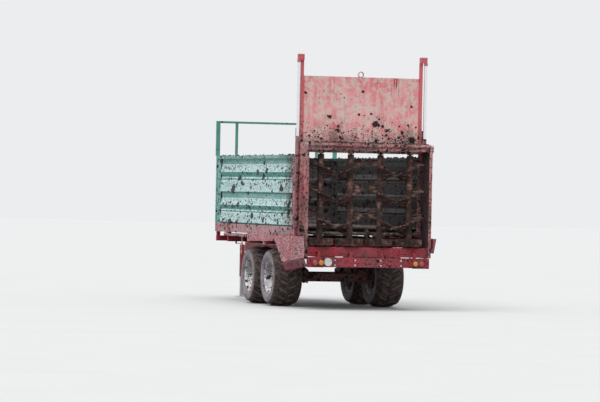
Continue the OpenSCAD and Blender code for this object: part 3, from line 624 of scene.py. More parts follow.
class Finish(Enum):
    """Finishes of the machine, each with the settings of its material."""

    GREEN = Paint("green_paint", (0.145, 0.470, 0.420), (0.36, 0.66, 0.63), (0.66, 0.95, 0.94),
                  (0.112, 0.420, 0.395), fade=0.75, dust=0.95, splash=0.80, soil=0.10, rear_dirt=1.0,
                  inside=1.0, chips=0.25, low_z=1.45, high_z=1.9)
    GREEN_BAR = Paint("green_frame_paint", (0.095, 0.330, 0.270), (0.17, 0.43, 0.37), (0.50, 0.68, 0.64),
                      (0.050, 0.200, 0.165), fade=0.5, dust=0.6, splash=0.16, soil=0.0, rear_dirt=0.0,
                      chips=0.3)
    RED = Paint("red_paint", (0.54, 0.135, 0.155), (0.66, 0.40, 0.42), (0.78, 0.66, 0.68),
                (0.215, 0.036, 0.052), fade=0.9, dust=0.8, mottle=0.45, patch=(0.52, 0.42, 0.42),
                patches=8.0, splash=1.00, soil=0.10, rear_dirt=0.65, inside=1.0, chips=0.4, low_z=0.7,
                high_z=1.4)
    SKIRT = Paint("skirt_paint", (0.64, 0.120, 0.150), (0.80, 0.38, 0.42), (0.95, 0.66, 0.70),
                  (0.205, 0.034, 0.052), fade=0.9, dust=0.8, mottle=0.30, patch=(0.56, 0.42, 0.42),
                  patches=8.0, splash=0.85, soil=0.05, rear_dirt=0.35, chips=0.4, low_z=0.7, high_z=1.4,
                  fold_z=0.792)
    RED_LOW = Paint("red_paint_low", (0.42, 0.035, 0.056), (0.40, 0.10, 0.12), (0.45, 0.26, 0.26),
                    RED_SHADE, fade=0.4, dust=0.35, splash=0.40, soil=0.30, rear_dirt=0.30, chips=0.4,
                    low_z=0.55, high_z=1.25)
    PORTAL = Paint("portal_paint", (0.66, 0.150, 0.180), (0.80, 0.42, 0.44), (0.84, 0.62, 0.62),
                   (0.230, 0.042, 0.054), fade=0.8, dust=0.4, mottle=0.90, patch=(0.13, 0.08, 0.09),
                   patches=9.0, splash=1.20, soil=0.10, rear_dirt=0.45, chips=0.5, low_z=1.0, high_z=1.6)
    GATE = Paint("gate_paint", (0.86, 0.190, 0.220), (0.96, 0.53, 0.53), (0.92, 0.72, 0.66),
                 (0.56, 0.11, 0.13), fade=0.9, dust=0.50, mottle=0.85, patch=(0.78, 0.62, 0.55),
                 patches=7.0, splash=-0.02, soil=0.92, rear_dirt=0.05, chips=0.45, low_z=2.90, high_z=3.60,
                 edge_y=1.085, stain=(-0.60, 0.13, 4.20))
    UNIT = Paint("rear_unit_paint", (0.70, 0.185, 0.205), (0.78, 0.42, 0.42), (0.88, 0.66, 0.64),
                 (0.12, 0.030, 0.034), fade=0.8, dust=0.6, splash=0.80, soil=0.45, rear_dirt=0.55,
                 inside=1.0, chips=0.4, low_z=0.9, high_z=3.1)
    GEAR = Paint("running_gear_paint", (0.25, 0.05, 0.050), (0.30, 0.14, 0.13), (0.26, 0.17, 0.15),
                 RED_SHADE, fade=0.5, dust=0.5, splash=0.40, soil=1.2, rear_dirt=0.2, chips=0.6,
                 low_z=0.3, high_z=1.2)
    RIM = Paint("rim_paint", (0.90, 0.88, 0.88), (0.97, 0.96, 0.97), (0.95, 0.94, 0.94), (0.48, 0.46, 0.48),
                fade=0.9, dust=0.4, mottle=0.3, patch=(0.34, 0.27, 0.27), patches=8.0, splash=0.75,
                soil=0.05, rear_dirt=0.0, chips=0.35, low_z=0.2, high_z=0.9, rough=0.42)
    BARREL = Paint("barrel_paint", (0.46, 0.12, 0.14), (0.56, 0.32, 0.32), (0.64, 0.48, 0.46),
                   (0.12, 0.04, 0.05), fade=0.7, dust=0.4, mottle=0.6, patch=(0.14, 0.10, 0.10),
                   patches=9.0, splash=0.75, soil=0.2, rear_dirt=0.5, chips=0.3, low_z=1.4, high_z=3.0)
    FLOOR = Coated("worn_floor_steel", (0.30, 0.28, 0.26), (0.060, 0.042, 0.036), cover=0.80, metal=0.3,
                   rough=0.6)
    CHAIN = Coated("chain_steel", (0.30, 0.27, 0.24), (0.055, 0.038, 0.032), cover=0.45, metal=0.5)
    ROTOR = Coated("rotor_steel", (0.40, 0.20, 0.17), (0.046, 0.031, 0.027), cover=0.65, metal=0.2)
    LINE = Coated("driveline_steel", (0.30, 0.29, 0.28), (0.12, 0.09, 0.07), cover=0.45, metal=0.5)
    APRON = Coated("apron_rubber", (0.036, 0.034, 0.034), (0.050, 0.036, 0.032), cover=0.65, metal=0.0,
                   rough=0.55)
    CHROME = Bright("rod_chrome", (0.86, 0.87, 0.89), 0.10, 1.0, 0.15)
    ZINC = Bright("zinc_plating", (0.62, 0.63, 0.64), 0.34, 0.9, 0.5)
    FORGED = Bright("forged_steel", (0.22, 0.215, 0.21), 0.48, 0.8, 0.7)
    RED_LENS = Lens("red_lens", (0.62, 0.025, 0.02))
    AMBER_LENS = Lens("amber_lens", (0.86, 0.26, 0.02))
    WHITE = Plain("sign_face", (0.80, 0.80, 0.78), 0.38, 0.35)
    BLACK = Plain("black_rubber", (0.028, 0.028, 0.030), 0.62, 0.5)
    TYRE = Rubber("tyre_rubber")
    CLODS = Dung("manure_clods")


class Store:
    """Materials that exist already, one for each finish."""

    made: dict[Finish, bpy.types.Material] = {}

    @classmethod
    def get(cls, finish: Finish) -> bpy.types.Material:
        """Return the finish's material and build it on the first call."""
        if finish not in cls.made:
            cls.made[finish] = finish.value.make()
        return cls.made[finish]


NODE_FINISH: dict[Finish, list[str]] = {
    Finish.GREEN: ["side_wall_left", "side_wall_right", "front_wall"],
    Finish.GREEN_BAR: ["front_frame"],
    Finish.RED: ["side_rails", "drawbar"],
    Finish.SKIRT: ["skirt_left", "skirt_right"],
    Finish.RED_LOW: ["chassis", "cross_beams", "lamp_bar", "drive_beam", "jack_tube"],
    Finish.PORTAL: ["portal_left", "portal_right"],
    Finish.UNIT: ["rear_unit"],
    Finish.GEAR: ["bogie_left", "bogie_right", "axle_rear", "axle_front"],
    Finish.GATE: ["gate"],
    Finish.BARREL: ["gate_barrels"],
    Finish.FLOOR: ["floor_deck"],
    Finish.CHAIN: ["conveyor", "shaft_rear", "shaft_front"],
    Finish.ROTOR: ["rotor_1", "rotor_2", "rotor_3", "rotor_4"],
    Finish.LINE: ["driveline"],
    Finish.CHROME: ["gate_rods"],
    Finish.ZINC: ["jack_leg"],
    Finish.FORGED: ["hitch_ring"],
    Finish.RED_LENS: ["lamps_red"],
    Finish.AMBER_LENS: ["lamps_amber", "reflectors"],
    Finish.WHITE: ["sign_disc"],
    Finish.TYRE: ["tyre_rear_left", "tyre_rear_right", "tyre_front_left", "tyre_front_right"],
    Finish.RIM: ["rim_rear_left", "rim_rear_right", "rim_front_left", "rim_front_right"],
}


# Camera and light

@dataclass(frozen=True)
class View:
    """Camera fitted to the photograph, behind the machine and to its left."""

    turn: float = math.radians(17.538)
    distance: float = 64.856
    height: float = 2.128
    roll: float = math.radians(1.186)
    focal_px: float = 3617.589
    axis_px: tuple[float, float] = (369.831, 192.237)
    size_px: tuple[int, int] = (600, 402)
    sensor: float = 36.0

    def place(self) -> None:
        """Create the camera and make it the scene's."""
        cos_t, sin_t = math.cos(self.turn), math.sin(self.turn)
        ahead = Vector((cos_t, -sin_t, 0.0))
        right = Vector((-sin_t, -cos_t, 0.0))
        up = Vector((0.0, 0.0, 1.0))
        cos_r, sin_r = math.cos(self.roll), math.sin(self.roll)
        dx = self.size_px[0] / 2 - self.axis_px[0]
        dy = self.size_px[1] / 2 - self.axis_px[1]
        across = (cos_r * dx + sin_r * dy) / self.focal_px
        down = (-sin_r * dx + cos_r * dy) / self.focal_px
        look = (ahead + across * right - down * up).normalized()
        top = cos_r * up - sin_r * right
        side = look.cross(top).normalized()
        top = side.cross(look)
        data = bpy.data.cameras.new("photo_view")
        data.sensor_width = self.sensor
        data.lens = self.focal_px / self.size_px[0] * self.sensor
        data.clip_start = 0.5
        data.clip_end = 500.0
        camera = bpy.data.objects.new("photo_view", data)
        camera.matrix_world = Matrix((
            (side.x, top.x, -look.x, -cos_t * self.distance - SHIFT),
            (side.y, top.y, -look.y, sin_t * self.distance),
            (side.z, top.z, -look.z, self.height),
            (0.0, 0.0, 0.0, 1.0)))
        bpy.context.collection.objects.link(camera)
        bpy.context.scene.camera = camera


@dataclass(frozen=True)
class Studio:
    """Pale floor, pale world and a soft overcast light from above."""

    floor_half: float = 160.0
    floor_colour: Triple = (0.74, 0.74, 0.73)
    floor_bounce: Triple = (0.24, 0.24, 0.23)
    world_colour: Triple = (0.90, 0.91, 0.93)
    world_seen: float = 0.93
    world_tint: Triple = (0.92, 0.96, 1.0)
    world_light: float = 0.50
    sun: float = 2.4
    sun_from: Triple = (-0.40, 0.32, 1.0)
    sun_angle: float = math.radians(70.0)

    def place(self) -> None:
        """Create the floor, the world and the lamp."""
        scene = bpy.context.scene
        scene.view_settings.view_transform = "Standard"
        scene.world = bpy.data.worlds.new("overcast")
        scene.world.use_nodes = True
        self._sky(Graph(scene.world.node_tree))
        lamp = bpy.data.lights.new("sky_light", "SUN")
        lamp.energy = self.sun
        lamp.angle = self.sun_angle
        lamp_object = bpy.data.objects.new("sky_light", lamp)
        lamp_object.rotation_euler = Vector(self.sun_from).to_track_quat("Z", "Y").to_euler()
        bpy.context.collection.objects.link(lamp_object)
        self._floor()

    def _sky(self, g: Graph) -> None:
        """Build the world: a pale picture for the eye, a plain light for the rest.

        Args:
            g: the world's graph.
        """
        light, picture = (g.add("ShaderNodeBackground", {}, {"Color": colour, "Strength": strength})
                          for colour, strength in ((self.world_tint, self.world_light),
                                                   (self.world_colour, self.world_seen)))
        both = g.add("ShaderNodeMixShader", {}, {0: g.seen(), 1: light, 2: picture})
        g.close("ShaderNodeOutputWorld", both)

    def _floor(self) -> None:
        """Lay the floor: pale to the eye, darker to the light that bounces up from it."""
        bpy.ops.mesh.primitive_plane_add(size=2 * self.floor_half, location=(0.0, 0.0, 0.0))
        floor = bpy.context.active_object
        floor.name = "floor"
        g = Surface("pale_floor")
        grain = g.noise(0.6, 3.0).step(0.3, 0.7)
        pale = g.mix(self.floor_colour, tuple(c * 0.98 for c in self.floor_colour), grain)
        colour = g.mix(self.floor_bounce, pale, g.seen())
        floor.data.materials.append(g.finish(colour, 0.85, g.bump(grain, 0.05, 0.01)))


# Modelling bench

def clear() -> None:
    """Leave edit mode and deselect everything."""
    if bpy.context.object and bpy.context.object.mode != "OBJECT":
        bpy.ops.object.mode_set(mode="OBJECT")
    bpy.ops.object.select_all(action="DESELECT")


def only(piece: Thing) -> None:
    """Select one object and make it active.

    Args:
        piece: the object.
    """
    clear()
    piece.select_set(True)
    bpy.context.view_layer.objects.active = piece


def settle(piece: Thing) -> Thing:
    """Put an object's place, turn and scale into its mesh.

    Args:
        piece: the object.

    Returns:
        The same object.
    """
    only(piece)
    bpy.ops.object.transform_apply(location=True, rotation=True, scale=True)
    return piece


def cylinder(radius: float, depth: float, at: Triple, axis: str = "Z", sides: int = 24) -> Thing:
    """Add a cylinder primitive along an axis.

    Args:
        radius: its radius.
        depth: its length.
        at: its middle.
        axis: X, Y or Z.
        sides: number of sides.

    Returns:
        The settled object.
    """
    turn = {"X": (0.0, math.pi / 2, 0.0), "Y": (-math.pi / 2, 0.0, 0.0), "Z": (0.0, 0.0, 0.0)}[axis]
    clear()
    bpy.ops.mesh.primitive_cylinder_add(vertices=sides, radius=radius, depth=depth, location=at,
                                        rotation=turn)
    return settle(bpy.context.active_object)


def torus(radius: float, thick: float, at: Triple, turn: Triple, steps: tuple[int, int] = (48, 10)) -> Thing:
    """Add a ring.

    Args:
        radius: the ring's radius.
        thick: its section's radius.
        at: its middle.
        turn: its turn from lying flat.
        steps: number of steps round the ring and round its section.

    Returns:
        The settled object.
    """
    clear()
    bpy.ops.mesh.primitive_torus_add(major_radius=radius, minor_radius=thick, major_segments=steps[0],
                                     minor_segments=steps[1], location=at, rotation=turn)
    return settle(bpy.context.active_object)


def block(low: Triple, high: Triple) -> Thing:
    """Add a box primitive between two corners.

    Args:
        low: the corner with the lowest coordinates.
        high: the opposite corner.

    Returns:
        The settled object.
    """
    clear()
    middle = [(a + b) / 2 for a, b in zip(low, high)]
    bpy.ops.mesh.primitive_cube_add(size=1.0, location=middle)
    piece = bpy.context.active_object
    piece.scale = [b - a for a, b in zip(low, high)]
    return settle(piece)


def pick(piece: Thing, kind: str, test: Callable[[object], bool]) -> None:
    """Enter edit mode and select the faces or points that pass a test.

    Args:
        piece: the object.
        kind: FACE or VERT.
        test: takes a face or a point.
    """
    only(piece)
    bpy.ops.object.mode_set(mode="EDIT")
    bpy.ops.mesh.select_mode(type=kind)
    bpy.ops.mesh.select_all(action="DESELECT")
    mesh = bmesh.from_edit_mesh(piece.data)
    for element in (mesh.faces if kind == "FACE" else mesh.verts):
        element.select = test(element)
    mesh.select_flush(True)
    bmesh.update_edit_mesh(piece.data)


def reshape(piece: Thing, cuts: int, shape: Callable[[Vector], Vector]) -> None:
    """Subdivide an object and move each point.

    Args:
        piece: the object.
        cuts: number of cuts of each edge.
        shape: takes a point's place and returns the new one.
    """
    only(piece)
    bpy.ops.object.mode_set(mode="EDIT")
    bpy.ops.mesh.select_all(action="SELECT")
    bpy.ops.mesh.subdivide(number_cuts=cuts)
    bpy.ops.object.mode_set(mode="OBJECT")
    for vertex in piece.data.vertices:
        vertex.co = shape(vertex.co)


def apply_bevel(piece: Thing, width: float, segments: int = 2, angle: float = 35.0) -> None:
    """Bevel the sharp edges and apply the modifier.

    Args:
        piece: the object.
        width: the bevel's width.
        segments: its steps.
        angle: edges sharper than this are bevelled.
    """
    only(piece)
    bevel = piece.modifiers.new("bevel", "BEVEL")
    bevel.width = width
    bevel.segments = segments
    bevel.limit_method = "ANGLE"
    bevel.angle_limit = math.radians(angle)
    bpy.ops.object.modifier_apply(modifier=bevel.name)


def copies(master: Thing, places: Iterable[Matrix]) -> Thing:
    """Copy a master to many places, join the copies and delete the master.

    Args:
        master: the modelled piece, settled at the origin.
        places: one matrix for each copy.

    Returns:
        The joined object.
    """
    made = []
    for place in places:
        copy = master.copy()
        copy.data = master.data.copy()
        copy.data.transform(place)
        if place.determinant() < 0:
            copy.data.flip_normals()
        bpy.context.collection.objects.link(copy)
        made.append(copy)
    bpy.data.objects.remove(master)
    return joined(made)


def joined(pieces: Sequence[Thing]) -> Thing:
    """Join several objects into the first.

    Args:
        pieces: the objects.

    Returns:
        The joined object.
    """
    clear()
    for piece in pieces:
        piece.select_set(True)
    bpy.context.view_layer.objects.active = pieces[0]
    if len(pieces) > 1:
        bpy.ops.object.join()
    return bpy.context.view_layer.objects.active


def deliver(piece: Thing, name: str, finish: Finish, body: str = "frame",
            replaced: Sequence[str] = (), smooth: float = 35.0) -> None:
    """Name, smooth, dress and mount a finished piece.

    Args:
        piece: the object.
        name: its name.
        finish: its material.
        body: the body that it rides on.
        replaced: CAD nodes that it stands for.
        smooth: edges flatter than this angle are shaded smooth.
    """
    settle(piece)
    bpy.ops.object.shade_smooth_by_angle(angle=math.radians(smooth))
    piece.name = name
    piece.data.name = name
    piece.data.materials.clear()
    piece.data.materials.append(Store.get(finish))
    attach(piece, body)
    if replaced:
        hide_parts(*replaced)
    LOG.info("%s: %d faces", name, len(piece.data.polygons))
    clear()


def bolt(radius: float, height: float) -> Thing:
    """Model a hexagon bolt head on a washer, standing up from the origin.

    Args:
        radius: the head's radius over its corners.
        height: the head's height.

    Returns:
        The master object.
    """
    head = cylinder(radius, height, (0.0, 0.0, height * 0.75), "Z", 6)
    apply_bevel(head, radius * 0.12, 1)
    washer = cylinder(radius * 1.45, height * 0.5, (0.0, 0.0, 0.0), "Z", 14)
    apply_bevel(washer, height * 0.1, 1)
    return joined([head, washer])


def turned(at: Triple, towards: Triple, spin: float = 0.0) -> Matrix:
    """Return a matrix that stands a master's Z axis along a direction.

    Args:
        at: the place.
        towards: the direction.
        spin: a turn about the master's own axis.

    Returns:
        The matrix.
    """
    aim = Vector(towards).to_track_quat("Z", "Y").to_matrix().to_4x4()
    return Matrix.Translation(at) @ aim @ Matrix.Rotation(spin, 4, "Z")


def spun(points: Sequence[tuple[float, float]], steps: int) -> Thing:
    """Turn a closed section in the XY plane once round the Y axis.

    Args:
        points: the section's corners in order, each a radius and a place along Y.
        steps: number of steps.

    Returns:
        The closed skin.
    """
    clear()
    bpy.ops.mesh.primitive_circle_add(vertices=len(points), radius=1.0, fill_type="NOTHING")
    piece = bpy.context.active_object
    for vertex, (x, y) in zip(piece.data.vertices, points):
        vertex.co = (x, y, 0.0)
    only(piece)
    bpy.ops.object.mode_set(mode="EDIT")
    bpy.ops.mesh.select_all(action="SELECT")
    bpy.ops.mesh.spin(steps=steps, angle=2 * math.pi, center=(0.0, 0.0, 0.0), axis=(0.0, 1.0, 0.0))
    bpy.ops.mesh.select_all(action="SELECT")
    bpy.ops.mesh.remove_doubles(threshold=0.0002)
    bpy.ops.mesh.normals_make_consistent(inside=False)
    bpy.ops.object.mode_set(mode="OBJECT")
    return piece


def dished(piece: Thing, axis: Triple, steps: Sequence[tuple[float, float]]) -> None:
    """Inset the end face that looks along a direction, again and again, and move each inset.

    Args:
        piece: the object.
        axis: the direction.
        steps: for each inset its width and how far it then moves along the direction.
    """
    aim = Vector(axis)
    pick(piece, "FACE", lambda face: face.normal.dot(aim) > 0.9)
    for width, move in steps:
        bpy.ops.mesh.inset(thickness=width)
        bpy.ops.transform.translate(value=aim * move)
    bpy.ops.object.mode_set(mode="OBJECT")


# Sub-assemblies

@dataclass
class Tyres:
    """Tyres: a spun carcass with ribs on the side walls, and two rows of slanting lugs."""

    radius: float = 0.535
    width: float = 0.550
    steps: int = 96
    lugs: int = 20
    lug_length: float = 0.209
    lug_width: float = 0.044
    lug_height: float = 0.040
    lug_slant: float = math.radians(28.0)
    lug_row: float = 0.110
    lug_taper: tuple[float, float] = (0.03, 0.16)     # shares of its length and width
    shoulder: float = 0.150     # how far out the tread starts to fall away
    shoulder_fall: float = 9.6  # in metres for each square metre past it

    def build(self) -> None:
        """Build the four tyres."""
        for name, x, sign in WHEELS:
            tyre = joined([self._carcass(), self._lugs()])
            tyre.data.transform(Matrix.Translation((x, sign * TRACK, AXLE_Z)))
            deliver(tyre, f"tyre_skin_{name}", Finish.TYRE, f"wheel_{name}", (f"tyre_{name}",), 40.0)

    def _carcass(self) -> Thing:
        """Spin the carcass round the axle at the origin.

        Returns:
            The carcass.
        """
        # each row: radius, and half the width there as a share of the tyre's width
        half = [(0.285, 0.392), (0.296, 0.415), (0.307, 0.430), (0.316, 0.445), (0.322, 0.446),
                (0.328, 0.462), (0.353, 0.486), (0.372, 0.493), (0.376, 0.500), (0.384, 0.500),
                (0.388, 0.495), (0.410, 0.499), (0.428, 0.498), (0.448, 0.488), (0.452, 0.492),
                (0.458, 0.488), (0.480, 0.462), (0.492, 0.425), (0.498, 0.380), (0.502, 0.330),
                (0.505, 0.200), (0.506, 0.0)]
        inner = [(0.482, 0.0), (0.480, 0.300), (0.420, 0.440), (0.330, 0.400), (0.287, 0.360)]
        loop = [(r, share * self.width) for r, share in half]
        loop += [(r, -share * self.width) for r, share in reversed(half[:-1])]
        loop += [(r, -share * self.width) for r, share in reversed(inner)]
        loop += [(r, share * self.width) for r, share in inner[1:]]
        return spun(loop, self.steps)

    def _lugs(self) -> Thing:
        """Model one lug, wrap it on the tread and copy it round both rows.

        Returns:
            The lugs.
        """
        rows = []
        for row, start in ((1, 0.0), (-1, 0.5)):
            lug = block((-self.lug_length / 2, -self.lug_width / 2, 0.0),
                        (self.lug_length / 2, self.lug_width / 2, self.lug_height))
            reshape(lug, 1, lambda flat, row=row: self._wrapped(flat, row))
            apply_bevel(lug, 0.004, 1, 50.0)
            rows.append(copies(lug, [Matrix.Rotation(-2 * math.pi / self.lugs * (k + start), 4, "Y")
                                     for k in range(self.lugs)]))
        return joined(rows)

    def _wrapped(self, flat: Vector, row: int) -> Vector:
        """Lay a point of the flat lug on the tread.

        Args:
            flat: place along the lug, across it and above its foot.
            row: 1 or -1, the tread's half.

        Returns:
            The point round the axle at the origin.
        """
        up = flat.z / self.lug_height
        along, across = (size * (1.0 - taper * up) for size, taper in zip(flat.xy, self.lug_taper))
        cos_s, sin_s = math.cos(self.lug_slant), math.sin(self.lug_slant)
        side = row * self.lug_row + along * cos_s + row * across * sin_s
        fall = self.shoulder_fall * max(0.0, abs(side) - self.shoulder) ** 2
        radius = self.radius - self.lug_height + flat.z - fall
        angle = (across * cos_s - row * along * sin_s) / self.radius
        return Vector((radius * math.cos(angle), -side, radius * math.sin(angle)))


@dataclass
class Wheels:
    """Nuts, hub caps and valves of the four wheels; each *_y is a distance out of the wheel's middle."""

    nuts: int = 10
    nut_circle: float = 0.118
    nut_y: float = 0.060
    nut_r: float = 0.017
    cap_y: float = 0.105
    cap_r: float = 0.060
    valve_reach: float = 0.268
    stem_y: float = 0.150
    base_y: float = 0.118

    def build(self) -> None:
        """Dress every wheel."""
        for name, x, sign in WHEELS:
            self._wheel(name, x, sign)

    def _wheel(self, name: str, x: float, sign: int) -> None:
        """Add the fittings of one wheel.

        Args:
            name: the wheel's place, such as rear_left.
            x: its axle.
            sign: 1 on the left, -1 on the right.
        """
        body = f"wheel_{name}"
        places = []
        for k in range(self.nuts):
            angle = 2 * math.pi * (k + 0.5) / self.nuts
            places.append(turned((x + self.nut_circle * math.cos(angle), sign * (TRACK + self.nut_y),
                                  AXLE_Z + self.nut_circle * math.sin(angle)), (0, sign, 0), 0.3 * k))
        deliver(copies(bolt(self.nut_r, 0.018), places), f"wheel_nuts_{name}", Finish.LINE,
                body)

        cap = cylinder(self.cap_r, 0.034, (x, sign * (TRACK + self.cap_y), AXLE_Z), "Y", 40)
        dished(cap, (0, sign, 0), ((0.012, 0.010), (0.030, -0.004)))
        apply_bevel(cap, 0.004, 2)
        deliver(cap, f"hub_cap_{name}", Finish.BARREL, body)

        reach = x + self.valve_reach
        stem = cylinder(0.0075, 0.060, (reach, sign * (TRACK + self.stem_y), AXLE_Z), "Y", 12)
        dished(stem, (0, sign, 0), ((0.0015, 0.010), (0.001, 0.006)))
        base = cylinder(0.012, 0.012, (reach, sign * (TRACK + self.base_y), AXLE_Z), "Y", 12)
        apply_bevel(base, 0.002, 1)
        deliver(joined([stem, base]), f"valve_{name}", Finish.BLACK, body)


@dataclass
class RearEnd:
    """Lenses, rubber rings and screws of the rear lamps, the sign's rim and the lamp bar's bolts."""

    lamps: tuple[tuple[float, Finish], ...] = ((1.000, Finish.RED_LENS), (0.886, Finish.AMBER_LENS))
    lamp_x: float = -0.020 - SHIFT
    lamp_z: float = 0.852
    lamp_r: float = 0.050
    screw_lift: float = 0.032
    sign_at: Triple = (-0.024 - SHIFT, 0.761, 0.865)
    sign_r: float = 0.072
    sign_screw: float = 0.045
    bar_x: float = 0.020 - SHIFT
    bar_y: tuple[float, ...] = (-0.62, -0.24, 0.24, 0.62)
    bar_dz: tuple[float, float] = (-0.04, 0.05)
    backwards: Triple = (0.0, math.pi / 2, 0.0)     # a ring's turn that makes it face back

    def build(self) -> None:
        """Dress the lamp bar."""
        rings, domes, screws = [], {finish: [] for _, finish in self.lamps}, []
        for y, finish in self.lamps:
            for sign in SIDES.values():
                middle = (self.lamp_x, sign * y, self.lamp_z)
                rings.append(torus(self.lamp_r + 0.003, 0.007, middle, self.backwards))
                dome = cylinder(self.lamp_r - 0.004, 0.008, middle, "X", 40)
                dished(dome, BACK, ((0.006, 0.005), (0.012, 0.003), (0.014, 0.001)))
                apply_bevel(dome, 0.001, 1, 50.0)
                domes[finish].append(dome)
                screws += [turned((self.lamp_x - 0.008, sign * y, self.lamp_z + lift), BACK)
                           for lift in (-self.screw_lift, self.screw_lift)]
        deliver(joined(rings), "lamp_rings", Finish.BLACK)
        deliver(joined(domes[Finish.RED_LENS]), "lens_domes_red", Finish.RED_LENS)
        deliver(joined(domes[Finish.AMBER_LENS]), "lens_domes_amber", Finish.AMBER_LENS)
        deliver(copies(bolt(0.004, 0.004), screws), "lens_screws", Finish.ZINC)
        rim = torus(self.sign_r - 0.003, 0.0035, self.sign_at, self.backwards)
        deliver(rim, "sign_rim", Finish.ZINC)
        x, y, z = self.sign_at
        screws = [turned((x, y + dy, z), BACK) for dy in (-self.sign_screw, self.sign_screw)]
        deliver(copies(bolt(0.006, 0.005), screws), "sign_screws", Finish.ZINC)
        bar = itertools.product(self.bar_y, self.bar_dz)
        bolts = [turned((self.bar_x, y, self.lamp_z + dz), BACK, 0.4 * k) for k, (y, dz) in enumerate(bar)]
        deliver(copies(bolt(0.011, 0.009), bolts), "lamp_bar_bolts", Finish.ZINC)


@dataclass
class Conveyor:
    """Round-link chains over both shafts, and the slats shackled to them."""

    x0: float = 0.700 - SHIFT
    x1: float = 5.990 - SHIFT
    z: float = 1.371
    radius: float = 0.103
    pitch: float = 0.050
    wire: float = 0.0065
    bow: float = 0.0130         # radius of a link's ends
    chains: tuple[float, ...] = (0.165, 0.985)
    slat_first: float = 0.760 - SHIFT
    slat_gap: float = 0.350
    slats: int = 15
    slat_y: tuple[float, float] = (0.055, 1.075)
    slat_size: tuple[float, float] = (0.040, 0.018)
    slat_lift: float = 0.109
    nut_dy: float = 0.030

    def build(self) -> None:
        """Build the chains, the slats and their shackles."""
        for side, sign in SIDES.items():
            for k, y in enumerate(self.chains):
                places = [self._place(i, sign * y) for i in range(self._count())]
                deliver(copies(self._link(), places), f"chain_{side}_{k + 1}", Finish.CHAIN,
                        smooth=50.0)
        runs = [(self.slat_first + i * self.slat_gap, up, sign)
                for i in range(self.slats) for up in (1, -1) for sign in SIDES.values()]
        slats = [Matrix.Translation((x, sign * sum(self.slat_y) / 2, self.z + up * self.slat_lift))
                 @ Matrix.Diagonal((1.0, 1.0, up, 1.0)) for x, up, sign in runs]
        deliver(copies(self._slat(), slats), "slats", Finish.CHAIN, replaced=("conveyor",))
        half_wide, half_high = (size / 2 for size in self.slat_size)
        nut_lift = self.slat_lift + half_high
        nuts = [turned((x + half_wide, sign * (y + dy), self.z + up * nut_lift), (0, 0, up))
                for x, up, sign in runs for y in self.chains for dy in (-self.nut_dy, self.nut_dy)]
        deliver(copies(bolt(0.010, 0.009), nuts), "slat_nuts", Finish.CHAIN)

    def _count(self) -> int:
        """Return the number of links of a chain, an even one."""
        length = 2 * (self.x1 - self.x0) + 2 * math.pi * self.radius
        return 2 * round(length / self.pitch / 2)

    def _link(self) -> Thing:
        """Model one oval link that lies flat along X.

        Returns:
            The master link.
        """
        link = torus(self.bow, self.wire, (0.0, 0.0, 0.0), (0.0, 0.0, 0.0), (10, 5))
        for end in (1, -1):
            pick(link, "VERT", lambda vertex, end=end: vertex.co.x * end > 0)
            bpy.ops.transform.translate(value=((self.pitch / 2 + self.wire - self.bow) * end, 0.0, 0.0))
        bpy.ops.object.mode_set(mode="OBJECT")
        return link

    def _place(self, index: int, y: float) -> Matrix:
        """Return the place of a link on its loop round both shafts.

        Args:
            index: the link's number; odd ones stand upright.
            y: the chain's middle.

        Returns:
            The matrix.
        """
        straight, arc = self.x1 - self.x0, math.pi * self.radius
        # the lower half of the loop is the upper half, turned about the loop's middle
        lap, at = divmod(2 * (straight + arc) * index / self._count(), straight + arc)
        bend = max(0.0, at - straight) / self.radius
        x = min(at, straight) - straight / 2 + self.radius * math.sin(bend)
        return (Matrix.Translation(((self.x0 + self.x1) / 2, y, self.z))
                @ Matrix.Rotation(math.pi * lap, 4, "Y")
                @ Matrix.Translation((x, 0.0, self.radius * math.cos(bend)))
                @ Matrix.Rotation(bend, 4, "Y") @ Matrix.Rotation(math.pi / 2 * (index % 2), 4, "X"))

    def _slat(self) -> Thing:
        """Model one slat: a channel open downwards, its middle at the origin's Y.

        Returns:
            The master slat.
        """
        half = (self.slat_y[1] - self.slat_y[0]) / 2
        wide, high = self.slat_size
        slat = block((0.0, -half, -high / 2), (wide, half, high / 2))
        pick(slat, "FACE", lambda face: face.normal.z < -0.9)
        bpy.ops.mesh.inset(thickness=0.006)
        bpy.ops.transform.translate(value=(0.0, 0.0, 0.011))
        bpy.ops.object.mode_set(mode="OBJECT")
        apply_bevel(slat, 0.0015, 1)
        return slat


